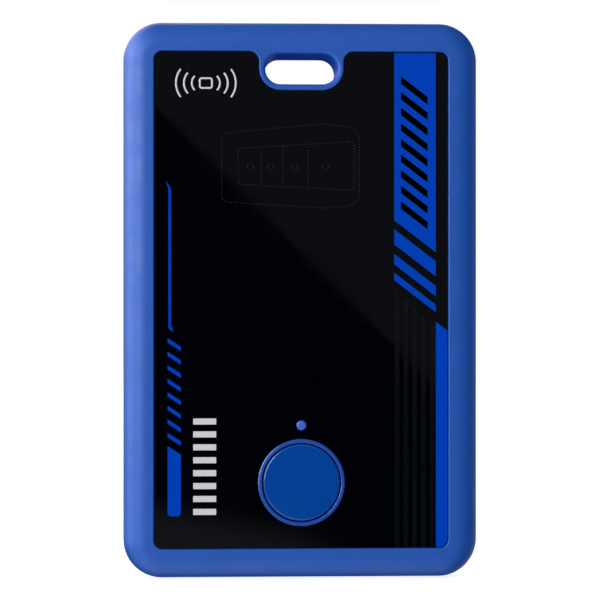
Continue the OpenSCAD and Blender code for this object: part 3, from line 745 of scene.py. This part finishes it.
# %% Recipe for a row of bars
row_recipe, row_in, row_out = new_recipe("row_of_bars", {
    "Count": "Int",
    "First": "Vector",
    "Step": "Vector",
    "Size": "Vector",
    "Slope": "Float",
    "Foot": "Float",
})
line = put(row_recipe, "GeometryNodeMeshLine", Count=row_in["Count"],
           Start_Location=row_in["First"], Offset=row_in["Step"])
bar = put(row_recipe, "GeometryNodeMeshCube", Size=row_in["Size"])
bars = put(row_recipe, "GeometryNodeInstanceOnPoints", Points=line.outputs[0],
           Instance=bar.outputs[0])
loose = put(row_recipe, "GeometryNodeRealizeInstances", Geometry=bars.outputs[0])
at = put(row_recipe, "ShaderNodeSeparateXYZ",
         Vector=put(row_recipe, "GeometryNodeInputPosition").outputs[0])
first = put(row_recipe, "ShaderNodeSeparateXYZ", Vector=row_in["First"])
past = figure(row_recipe, "SUBTRACT", at.outputs["X"], first.outputs["X"])
fallen = figure(row_recipe, "SUBTRACT", at.outputs["Z"],
                figure(row_recipe, "MULTIPLY", past, row_in["Slope"]))
height = figure(row_recipe, "MAXIMUM", fallen, row_in["Foot"])
moved = put(row_recipe, "ShaderNodeCombineXYZ", X=at.outputs["X"], Y=at.outputs["Y"], Z=height)
placed = put(row_recipe, "GeometryNodeSetPosition", Geometry=loose.outputs[0],
             Position=moved.outputs[0])
finish_recipe(row_recipe, placed.outputs[0], row_in["Material"], row_out)
print("nodes in the row recipe:", len(row_recipe.nodes))

# %% [markdown]
# Ink stands a hair above the panel and sinks a little into it, so that no gap shows from the
# side. A printed row takes its places in millimetres from the panel's middle.

# %% Printed rows
INK_LEVEL = panel_face + (INK_SINK - INK_STEP) / 2
INK_DEEP = INK_STEP + INK_SINK


def printed_row(name, count, middle, pitch, size, fall, material, foot=None):
    """A row of printed bars; the middle, pitch and size are in millimetres on the panel."""
    low = panel_mid.z + foot * MM if foot is not None else case_low.z
    return on_card(cook(name, row_recipe, {
        "Count": count,
        "First": (panel_mid.x + middle[0] * MM, INK_LEVEL, panel_mid.z + middle[1] * MM),
        "Step": (pitch[0] * MM, 0.0, pitch[1] * MM),
        "Size": (size[0] * MM, INK_DEEP, size[1] * MM),
        "Slope": fall,
        "Foot": low,
        "Material": material,
    }))


print("ink stands out by", INK_STEP / MM, "mm")

# %% [markdown]
# The eight ticks at the left share the block's width and slant. The stripes at the right are the
# same blue-grey as deep shadow, so they show only where light catches them.

# %% Ticks and stripes
TICK_COUNT = 8
TICK_FIRST = -6.97
TICK_HEIGHT = 0.68
TICK_PITCH = -2.115
tick_width = TICK_RIGHT - TICK_LEFT
printed_row("ink_ticks", TICK_COUNT, ((TICK_LEFT + TICK_RIGHT) / 2, TICK_FIRST),
            (0, TICK_PITCH), (tick_width, TICK_HEIGHT), TICK_FALL / tick_width, ink_blue)

STRIPE_COUNT = 5
STRIPE_FIRST = 15.04
STRIPE_PITCH = 1.38
STRIPE_WIDTH = 0.74
STRIPE_TOP = 0.93
STRIPE_FOOT = -38.8
STRIPE_FALL = 0.82
STRIPE_LONG = 45.0
printed_row("ink_stripes", STRIPE_COUNT, (STRIPE_FIRST, STRIPE_TOP - STRIPE_LONG / 2),
            (STRIPE_PITCH, 0), (STRIPE_WIDTH, STRIPE_LONG), STRIPE_FALL, ink_grey,
            foot=STRIPE_FOOT)
print("ticks and stripes:", TICK_COUNT, STRIPE_COUNT)

# %% [markdown]
# Two places on such a card usually carry words. Here they carry plain rows of marks instead:
# dark slanted bars on the blue band, and short white bars at the left of the button.

# %% Plain marks in place of words
MARK_COUNT = 9
MARK_MIDDLE = (17.75, 32.9)
MARK_PITCH = -2.45
MARK_SIZE = (4.2, 1.2)
printed_row("ink_band_marks", MARK_COUNT, MARK_MIDDLE, (0, MARK_PITCH), MARK_SIZE, slope, ink_dark)
CODE_COUNT = 8
CODE_MIDDLE = (-15.15, -19.0)
CODE_PITCH = -2.02
CODE_SIZE = (3.6, 0.95)
printed_row("ink_code_marks", CODE_COUNT, CODE_MIDDLE, (0, CODE_PITCH), CODE_SIZE, 0.0, ink_white)
print("plain marks:", MARK_COUNT + CODE_COUNT)

# %% [markdown]
# Strokes of even width, such as the radio waves, start as thin paths. The recipe sweeps a circle
# along each path, puts a ball on each open end, and then presses everything flat, so the ink
# gets a soft domed edge and round ends whatever way the path turns.

# %% Recipe for strokes
stroke_recipe, stroke_in, stroke_out = new_recipe("flat_strokes", {
    "Width": "Float",
    "Thickness": "Float",
    "Level": "Float",
})
path = put(stroke_recipe, "GeometryNodeMeshToCurve", Mesh=stroke_in["Geometry"])
radius = figure(stroke_recipe, "MULTIPLY", stroke_in["Width"], 0.5)
rim = put(stroke_recipe, "GeometryNodeCurvePrimitiveCircle", Resolution=12, Radius=radius)
tube = put(stroke_recipe, "GeometryNodeCurveToMesh", Curve=path.outputs[0],
           Profile_Curve=rim.outputs[0], Fill_Caps=True)
ball = put(stroke_recipe, "GeometryNodeMeshUVSphere", Segments=16, Rings=10, Radius=radius)
ends = put(stroke_recipe, "GeometryNodeCurveEndpointSelection")
caps = put(stroke_recipe, "GeometryNodeInstanceOnPoints", Points=path.outputs[0],
           Selection=ends.outputs[0], Instance=ball.outputs[0])
joined = put(stroke_recipe, "GeometryNodeJoinGeometry")
stroke_recipe.links.new(tube.outputs[0], joined.inputs[0])
stroke_recipe.links.new(caps.outputs[0], joined.inputs[0])
solid = put(stroke_recipe, "GeometryNodeRealizeInstances", Geometry=joined.outputs[0])
spot = put(stroke_recipe, "ShaderNodeSeparateXYZ",
           Vector=put(stroke_recipe, "GeometryNodeInputPosition").outputs[0])
off = figure(stroke_recipe, "SUBTRACT", spot.outputs["Y"], stroke_in["Level"])
press = figure(stroke_recipe, "DIVIDE", stroke_in["Thickness"], stroke_in["Width"])
level = figure(stroke_recipe, "MULTIPLY_ADD", off, press, stroke_in["Level"])
pressed = put(stroke_recipe, "ShaderNodeCombineXYZ", X=spot.outputs["X"], Y=level,
              Z=spot.outputs["Z"])
flat = put(stroke_recipe, "GeometryNodeSetPosition", Geometry=solid.outputs[0],
           Position=pressed.outputs[0])
smooth = put(stroke_recipe, "GeometryNodeSetShadeSmooth", Geometry=flat.outputs[0])
finish_recipe(stroke_recipe, smooth.outputs[0], stroke_in["Material"], stroke_out)
print("nodes in the stroke recipe:", len(stroke_recipe.nodes))

# %% [markdown]
# The base of such a recipe is a mesh of loose edges, one chain for each path. Curves would do as
# well, but one mesh can hold all the paths of a drawing.

# %% Paths and printed strokes


def path_base(name, paths):
    """Loose edges along some paths on the panel; each path is its points and whether it closes."""
    points = []
    edges = []
    for outline, closed in paths:
        start = len(points)
        points += [(panel_mid.x + x * MM, INK_LEVEL, panel_mid.z + z * MM) for x, z in outline]
        edges += [(start + i, start + i + 1) for i in range(len(outline) - 1)]
        if closed:
            edges.append((len(points) - 1, start))
    mesh = bpy.data.meshes.new(name)
    mesh.from_pydata(points, edges, [])
    base = bpy.data.objects.new(name, mesh)
    bpy.context.scene.collection.objects.link(base)
    return base


def printed_strokes(name, paths, width, material):
    """Strokes of one width along paths given in millimetres on the panel."""
    values = {"Width": width * MM, "Thickness": 2 * INK_STEP, "Level": INK_LEVEL,
              "Material": material}
    return on_card(cook(name, stroke_recipe, values, path_base(name + "_base", paths)))


print("strokes are", 2 * INK_STEP / MM, "mm thick")

# %% [markdown]
# The symbol at the upper left is the plain sign for a contactless card: a small card outline with
# three radio waves on each side. Each wave is an arc that is known by how far it stands out from
# the card and by its two ends.

# %% Contactless symbol
SYMBOL_AT = (-14.96, 33.93)
SYMBOL_STROKE = 0.28
SYMBOL_CARD = (0.95, 0.76)
SYMBOL_CORNER = 0.3
WAVE_OUT = (2.20, 3.43, 4.68)
WAVE_END = ((1.82, 1.02), (2.89, 1.52), (4.00, 2.10))
WAVE_STEPS = 20


def wave(out, end, side):
    """An arc through a middle point and two ends that mirror each other, above and below."""
    bulge = out - end[0]
    bend = (bulge ** 2 + end[1] ** 2) / (2 * bulge)
    half = math.asin(end[1] / bend)
    turns = [half * (2 * i / WAVE_STEPS - 1) for i in range(WAVE_STEPS + 1)]
    return [(SYMBOL_AT[0] + side * (out - bend + bend * math.cos(turn)),
             SYMBOL_AT[1] + bend * math.sin(turn)) for turn in turns]


def round_box(middle, half_w, half_h, radius):
    """A rectangle with round corners about a middle, as an outline."""
    x, z = middle
    return eased([(x - half_w, z - half_h), (x + half_w, z - half_h),
                  (x + half_w, z + half_h), (x - half_w, z + half_h)], radius)


waves = [(wave(out, end, side), False) for out, end in zip(WAVE_OUT, WAVE_END) for side in (-1, 1)]
card_sign = (round_box(SYMBOL_AT, SYMBOL_CARD[0], SYMBOL_CARD[1], SYMBOL_CORNER), True)
printed_strokes("ink_symbol", waves + [card_sign], SYMBOL_STROKE, ink_white)
print("waves in the symbol:", len(waves))

# %% [markdown]
# Below it a key fob is sketched in dots, faint as a watermark. A recipe walks each path in even
# steps and stamps a small round dot at every step.

# %% Recipe for dotted lines
dot_recipe, dot_in, dot_out = new_recipe("dotted_lines", {
    "Pitch": "Float",
    "Dot": "Float",
    "Thickness": "Float",
})
trail = put(dot_recipe, "GeometryNodeMeshToCurve", Mesh=dot_in["Geometry"])
steps = put(dot_recipe, "GeometryNodeResampleCurve", {"mode": "LENGTH"}, Curve=trail.outputs[0],
            Length=dot_in["Pitch"])
dot = put(dot_recipe, "GeometryNodeMeshCylinder", Vertices=10, Side_Segments=1, Fill_Segments=1,
          Radius=figure(dot_recipe, "MULTIPLY", dot_in["Dot"], 0.5), Depth=dot_in["Thickness"])
dots = put(dot_recipe, "GeometryNodeInstanceOnPoints", Points=steps.outputs[0],
           Instance=dot.outputs[0], Rotation=(math.pi / 2, 0.0, 0.0))
finish_recipe(dot_recipe, dots.outputs[0], dot_in["Material"], dot_out)

print("nodes in the dot recipe:", len(dot_recipe.nodes))

# %% [markdown]
# The fob is an outline that widens to the right, a window inside it with three dividers, and a
# small ring in each of its four fields for a button. The long lines are dotted and the rings are
# fine strokes, for a ring this small would take only five or six dots.

# %% Key fob in dots
FOB_OUTER = [(-12.49, 15.4), (3.30, 14.4), (9.1, 14.9), (9.1, 26.9), (3.30, 27.6), (-12.49, 26.1)]
FOB_OUTER_BENDS = (0.9, 3.0, 2.2, 2.2, 3.0, 0.9)
FOB_INNER = [(-9.91, 18.1), (8.30, 17.2), (8.30, 24.85), (-9.91, 23.75)]
FOB_INNER_BEND = 0.6
FOB_DIVIDERS = (-6.24, -2.88, 1.03)
FOB_DIVIDER_LOW = 17.9
FOB_DIVIDER_HIGH = 23.9
FOB_BUTTONS = (-8.0, -4.8, -1.0, 3.8)
FOB_MIDDLE = 20.85
FOB_BUTTON_HALF = 0.5
FOB_BUTTON_BEND = 0.45
FOB_BUTTON_STROKE = 0.12
DOT_PITCH = 0.5
DOT_SIZE = 0.22
fob_paths = [
    (eased(FOB_OUTER, FOB_OUTER_BENDS), True),
    (eased(FOB_INNER, FOB_INNER_BEND), True),
]
fob_paths += [([(x, FOB_DIVIDER_LOW), (x, FOB_DIVIDER_HIGH)], False) for x in FOB_DIVIDERS]
fob_dots = cook("ink_fob_dots", dot_recipe, {
    "Pitch": DOT_PITCH * MM,
    "Dot": DOT_SIZE * MM,
    "Thickness": INK_DEEP,
    "Material": ink_dot,
}, path_base("fob_base", fob_paths))
on_card(fob_dots)
button_rings = [(round_box((x, FOB_MIDDLE), FOB_BUTTON_HALF, FOB_BUTTON_HALF, FOB_BUTTON_BEND),
                 True) for x in FOB_BUTTONS]
printed_strokes("ink_fob_buttons", button_rings, FOB_BUTTON_STROKE, ink_faint)
print("lines in the fob:", len(fob_paths))

# %% [markdown]
# ## Shells with broken edges
# No moulded edge is knife sharp. A thin highlight runs along the frame's window, the panel and
# the cover, so these nodes are replaced by copies whose rim edges are rounded a little. A CAD
# mesh is loose triangles, so the copy is merged and its flat faces are joined first.

# %% Helper that rounds the edges in a plane
SHARP = math.radians(35)
SMOOTH_LIMIT = math.radians(20)
SAME = 0.002 * MM
FLAT = math.radians(0.1)
LEVEL = 0.9999
KEEP_ROUND = 2 * MM


def eased_copy(name, node, planes, width, finish, body="root", level=True,
               steps=2, keep_near=None):
    """A copy of a CAD node with its sharp edges in some planes across Y rounded off."""
    shape = bmesh.new()
    shape.from_mesh(nodes[node].data)
    bmesh.ops.remove_doubles(shape, verts=shape.verts, dist=SAME)
    bmesh.ops.dissolve_limit(shape, angle_limit=FLAT, verts=shape.verts, edges=shape.edges)
    sharp = [edge for edge in shape.edges
             if len(edge.link_faces) == 2 and edge.calc_face_angle() > SHARP
             and any(all(abs(v.co.y - y) < SAME for v in edge.verts) for y in planes)]
    if keep_near is not None:
        sharp = [edge for edge in sharp if (edge.verts[0].co - keep_near).xz.length > KEEP_ROUND]
    bmesh.ops.bevel(shape, geom=sharp, offset=width, offset_type="OFFSET", segments=steps,
                    profile=0.5, affect="EDGES", clamp_overlap=True)
    bmesh.ops.triangulate(shape, faces=[face for face in shape.faces if len(face.verts) > 4])
    mesh = bpy.data.meshes.new(name)
    shape.to_mesh(mesh)
    shape.free()
    mesh.shade_smooth()
    mesh.set_sharp_from_angle(angle=SMOOTH_LIMIT)
    for face in mesh.polygons:
        face.use_smooth = not (level and abs(face.normal.y) > LEVEL)
    copy = bpy.data.objects.new(name, mesh)
    bpy.context.scene.collection.objects.link(copy)
    wear(copy, finish)
    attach(copy, body)
    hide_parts(node)
    print(name, "edges rounded:", len(sharp), "faces:", len(mesh.polygons))
    return copy


# %% [markdown]
# The frame is what a hand feels, so its edges are the softest of these four. The panel is cut
# almost sharp, and the cover and the door share one width, so their gap reads as one line. The
# panel's small hole for the lens keeps its plain edge.

# %% Frame, panel, cover and door with broken edges
FRAME_EASE = 0.16 * MM
PANEL_EASE = 0.07 * MM
COVER_EASE = 0.12 * MM
cover_black = new_finish("cover_black_texture", (0.018, 0.018, 0.020), 0.42)
drift(cover_black, 5 * MM, 0.03)
gloss(cover_black, 1.8 * MM, 0.38, 0.46)
grain(cover_black, 0.16 * MM, 0.012 * MM)
eased_copy("frame_shell", "front_frame", (case_low.y, case_high.y), FRAME_EASE, frame_blue,
           level=False)
eased_copy("panel_sheet", "front_panel", (panel_low.y,), PANEL_EASE, panel_black,
           keep_near=lens_at)
eased_copy("cover_shell", "rear_cover", (cover_high.y,), COVER_EASE, cover_black)
eased_copy("door_shell", "battery_door", (door_high.y,), COVER_EASE, cover_black,
           "battery_door")

# %% [markdown]
# A finger lands on the cap's edge, so it is moulded a little rounder still. Four steps keep the
# round smooth where the light at the left glints on it. The copy moves with the button.

# %% Button cap with a soft edge
CAP_EASE = 0.17 * MM
eased_copy("cap_shell", "button_cap", (cap_low.y,), CAP_EASE, cap_blue, "button",
           steps=4)

# %% [markdown]
# ## Indicator lens
# The light pipe ends in a small dome that stands just proud of the panel. A flattened sphere
# would look alike but hide half its faces in the panel. A short profile turned round once gives
# just the part that shows.

# %% Turned shapes


def turned(name, profile, middle, sides, material):
    """A closed body of revolution about Y; the profile is radius and y, from front to back."""
    points = []
    faces = []
    for radius, y in profile[1:-1]:
        for side in range(sides):
            turn = 2 * math.pi * side / sides
            points.append((middle.x + radius * math.cos(turn), y,
                           middle.z + radius * math.sin(turn)))
    rows = len(profile) - 2
    for row in range(rows - 1):
        for side in range(sides):
            after = (side + 1) % sides
            faces.append((row * sides + side, row * sides + after,
                          (row + 1) * sides + after, (row + 1) * sides + side))
    points += [(middle.x, profile[0][1], middle.z), (middle.x, profile[-1][1], middle.z)]
    for side in range(sides):
        after = (side + 1) % sides
        faces.append((rows * sides, after, side))
        faces.append((rows * sides + 1, (rows - 1) * sides + side, (rows - 1) * sides + after))
    thing = mesh_object(name, points, faces, material)
    thing.data.shade_smooth()
    thing.data.set_sharp_from_angle(angle=math.radians(40))
    return thing


print("turning about the axis through", [round(v / MM, 2) for v in lens_at])

# %% [markdown]
# The dome's profile is a quarter of an ellipse, and its skirt ends inside the panel. The lens is
# clear blue and lit faintly from inside.

# %% Lens dome
LENS_RADIUS = 0.74 * MM
LENS_DOME = 0.20 * MM
LENS_SUNK = 0.10 * MM
LENS_STEPS = 10
LENS_SIDES = 48
lens_glow = new_finish("lens_blue_clear", (0.045, 0.13, 0.72), 0.3)
gloss(lens_glow, 0.4 * MM, 0.24, 0.36)
drift(lens_glow, 0.5 * MM, 0.12)
set_on(lens_glow, Emission_Color=(0.05, 0.10, 0.60, 1.0), Emission_Strength=0.12)
dome = [(LENS_RADIUS * math.sin(math.pi / 2 * i / LENS_STEPS),
         panel_face - LENS_DOME * math.cos(math.pi / 2 * i / LENS_STEPS))
        for i in range(LENS_STEPS + 1)]
dome += [(LENS_RADIUS, panel_face + LENS_SUNK), (0.0, panel_face + LENS_SUNK)]
on_card(turned("lens_dome", dome, lens_at, LENS_SIDES, lens_glow))
print("points in the dome's profile:", len(dome))

# %% [markdown]
# ## Door ribs
# The battery door is turned with a coin, or with a thumb pressed on its ribs. The ribs are one
# small block, set out around the middle by a recipe: a point for each rib, all at the middle,
# each turned a little further than the last.

# %% Recipe for ribs in a ring
ring_recipe, ring_in, ring_out = new_recipe("ribs_in_a_ring", {
    "Count": "Int",
    "Size": "Vector",
    "Out": "Vector",
    "Middle": "Vector",
})
seeds = put(ring_recipe, "GeometryNodePoints", Count=ring_in["Count"])
rib = put(ring_recipe, "GeometryNodeMeshCube", Size=ring_in["Size"], Vertices_X=5)
bowed = put(ring_recipe, "GeometryNodeTransform", Geometry=rib.outputs[0],
            Translation=ring_in["Out"])
share = figure(ring_recipe, "DIVIDE", 2 * math.pi, ring_in["Count"])
turn_by = figure(ring_recipe, "MULTIPLY",
                 put(ring_recipe, "GeometryNodeInputIndex").outputs[0], share)
way = put(ring_recipe, "ShaderNodeCombineXYZ", X=0.0, Y=turn_by, Z=0.0)
ribs = put(ring_recipe, "GeometryNodeInstanceOnPoints", Points=seeds.outputs[0],
           Instance=bowed.outputs[0], Rotation=way.outputs[0])
centred = put(ring_recipe, "GeometryNodeTransform", Geometry=ribs.outputs[0],
              Translation=ring_in["Middle"])
finish_recipe(ring_recipe, centred.outputs[0], ring_in["Material"], ring_out)
print("nodes in the ring recipe:", len(ring_recipe.nodes))

# %% [markdown]
# The ribs stand a tenth of a millimetre proud of the door's outer face and turn with it. They sink
# a little deeper than they stand, so they look moulded on, not laid on.

# %% Ribs on the battery door
RIB_COUNT = 44
RIB_LONG = 2.0 * MM
RIB_WIDE = 0.5 * MM
RIB_STAND = 0.09 * MM
RIB_SINK = 0.15 * MM
RIB_OUT = 9.9 * MM
rib_level = door_high.y + (RIB_STAND - RIB_SINK) / 2
door_ribs = cook("door_ribs", ring_recipe, {
    "Count": RIB_COUNT,
    "Size": (RIB_LONG, RIB_STAND + RIB_SINK, RIB_WIDE),
    "Out": (RIB_OUT, 0.0, 0.0),
    "Middle": (door_at.x, rib_level, door_at.z),
    "Material": cover_black,
})
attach(door_ribs, "battery_door")
print("one rib every", round(360 / RIB_COUNT, 1), "degrees")

# %% [markdown]
# ## Finishes inside
# Every inner part gets the surface it has on the real object, even where the case hides it. The
# record names a slot for each node, so one table of finishes dresses them all.

# %% Metals


def metal(name, colour, roughness, size):
    """A metal finish with a fine brushed direction."""
    material = new_finish(name, colour, roughness)
    set_on(material, Metallic=1.0)
    drift(material, size * 4, 0.06)
    gloss(material, size, roughness - 0.06, roughness + 0.08, 2.0, (1, 1, 12))
    grain(material, size / 2, 0.002 * MM, 2.0, (1, 1, 12))
    return material


finishes = {
    "steel": metal("nickel_steel", (0.58, 0.57, 0.55), 0.28, 0.6 * MM),
    "shield_metal": metal("tinned_steel", (0.62, 0.62, 0.60), 0.34, 0.9 * MM),
    "brass": metal("turned_brass", (0.72, 0.50, 0.18), 0.30, 0.5 * MM),
    "contact_gold": metal("gold_plate", (0.80, 0.58, 0.25), 0.22, 0.4 * MM),
}
print("metals:", sorted(finishes))

# %% [markdown]
# Plastics, rubber and films take all three layers in one call, with sizes that suit each: foam is
# coarse and dull, glazed ceramic fine and smooth. The outer finishes join the same table, because
# their CAD nodes are dressed from it too.

# %% Plastics, rubber and films


def dressed(name, colour, roughness, wander, size, depth, spread):
    """A finish with all three layers: colour drift, wandering gloss and a relief."""
    material = new_finish(name, colour, roughness)
    drift(material, size * 8, spread)
    gloss(material, size * 3, roughness - wander, roughness + wander)
    grain(material, size, depth)
    return material


finishes.update({
    "inner_plastic": cover_black,
    "adhesive": dressed("foam_tape", (0.030, 0.030, 0.032), 0.85, 0.08, 0.12 * MM, 0.02 * MM, 0.2),
    "holder_plastic": dressed("moulded_white", (0.70, 0.70, 0.66), 0.42, 0.06, 0.25 * MM,
                              0.004 * MM, 0.03),
    "seal_rubber": dressed("silicone_rubber", (0.022, 0.022, 0.024), 0.7, 0.08, 0.3 * MM,
                           0.006 * MM, 0.1),
    "chip_resin": dressed("chip_resin", (0.020, 0.020, 0.022), 0.6, 0.06, 0.06 * MM,
                          0.006 * MM, 0.1),
    "ceramic": dressed("glazed_ceramic", (0.62, 0.55, 0.42), 0.3, 0.08, 0.15 * MM, 0.003 * MM, 0.1),
    "ferrite": dressed("ferrite_sheet", (0.050, 0.046, 0.050), 0.55, 0.1, 0.2 * MM, 0.004 * MM, 0.2),
    "frame_plastic": frame_blue,
    "panel_gloss": panel_black,
    "ring_plastic": ring_blue,
    "cap_plastic": cap_blue,
    "lens_plastic": lens_glow,
})
print("finishes by slot:", len(finishes))

# %% [markdown]
# The circuit board shows copper traces as a pattern under its solder mask, the coil film shows
# its windings, and the sounder's mesh is a plain weave. Bands and cells from texture nodes draw
# them, on the parts' own coordinates.

# %% Patterns


def mix_colours(material, factor, first, second):
    """Lets a factor choose between two colours for the base colour."""
    tree = material.node_tree
    mix = tree.nodes.new("ShaderNodeMix")
    mix.data_type = "RGBA"
    tree.links.new(factor, mix.inputs["Factor"])
    mix.inputs["A"].default_value = (*first, 1.0)
    mix.inputs["B"].default_value = (*second, 1.0)
    tree.links.new(mix.outputs["Result"], shader_of(material).inputs["Base Color"])


def cells(material, size, low, high):
    """A factor that is 1 near the borders of square-ish cells of a size, for traces."""
    tree = material.node_tree
    texture = tree.nodes.new("ShaderNodeTexVoronoi")
    texture.distance = "CHEBYCHEV"
    texture.inputs["Scale"].default_value = 1.0 / size
    texture.inputs["Randomness"].default_value = 0.8
    tree.links.new(object_coords(material), texture.inputs["Vector"])
    return between(tree, texture.outputs["Distance"], low, high, smooth=False)


WAVE_SCALE = 0.314


def weave(material, pitch, axis):
    """A wave of threads across one axis, from 0 to 1."""
    tree = material.node_tree
    texture = tree.nodes.new("ShaderNodeTexWave")
    texture.bands_direction = axis
    texture.inputs["Scale"].default_value = WAVE_SCALE / pitch
    tree.links.new(object_coords(material), texture.inputs["Vector"])
    return texture.outputs["Fac"]


print("three pattern helpers ready")

# %% [markdown]
# Traces are a little lighter than the mask around them, windings are bright copper on amber, and
# the weave is two waves that cross. Modelled traces would be truer, but the case hides them, and
# a pattern costs no faces.

# %% Board, coil film and mesh
TRACE_CELL = 2.2 * MM
COIL_PITCH = 0.8 * MM
THREAD_PITCH = 0.2 * MM
board_green = new_finish("solder_mask", (0.010, 0.090, 0.040), 0.28)
mix_colours(board_green, cells(board_green, TRACE_CELL, 0.42, 0.46),
            (0.008, 0.075, 0.033), (0.016, 0.130, 0.060))
grain(board_green, 0.3 * MM, 0.004 * MM)
coil_film = new_finish("coil_film", (0.45, 0.20, 0.04), 0.3)
mix_colours(coil_film, weave(coil_film, COIL_PITCH, "X"), (0.40, 0.16, 0.03), (0.62, 0.30, 0.10))
gloss(coil_film, 1.5 * MM, 0.24, 0.36)
mesh_cloth = new_finish("sound_mesh", (0.030, 0.030, 0.030), 0.8)
threads = figure(mesh_cloth.node_tree, "MULTIPLY", weave(mesh_cloth, THREAD_PITCH, "X"),
                 weave(mesh_cloth, THREAD_PITCH, "Z"))
mix_colours(mesh_cloth, threads, (0.008, 0.008, 0.008), (0.06, 0.06, 0.06))
grain(mesh_cloth, 0.1 * MM, 0.01 * MM)
finishes.update({"board": board_green, "flex_film": coil_film, "mesh_fabric": mesh_cloth})
print("finishes in all:", len(finishes))

# %% [markdown]
# The record lists every node with its slot, so one loop dresses the whole model, the hidden parts
# too. Someone who opens the case finds them finished.

# %% Every CAD node takes its finish
for part in frame["record"]["subparts"]:
    wear(nodes[part["node"]], finishes[part["material_slot"]])
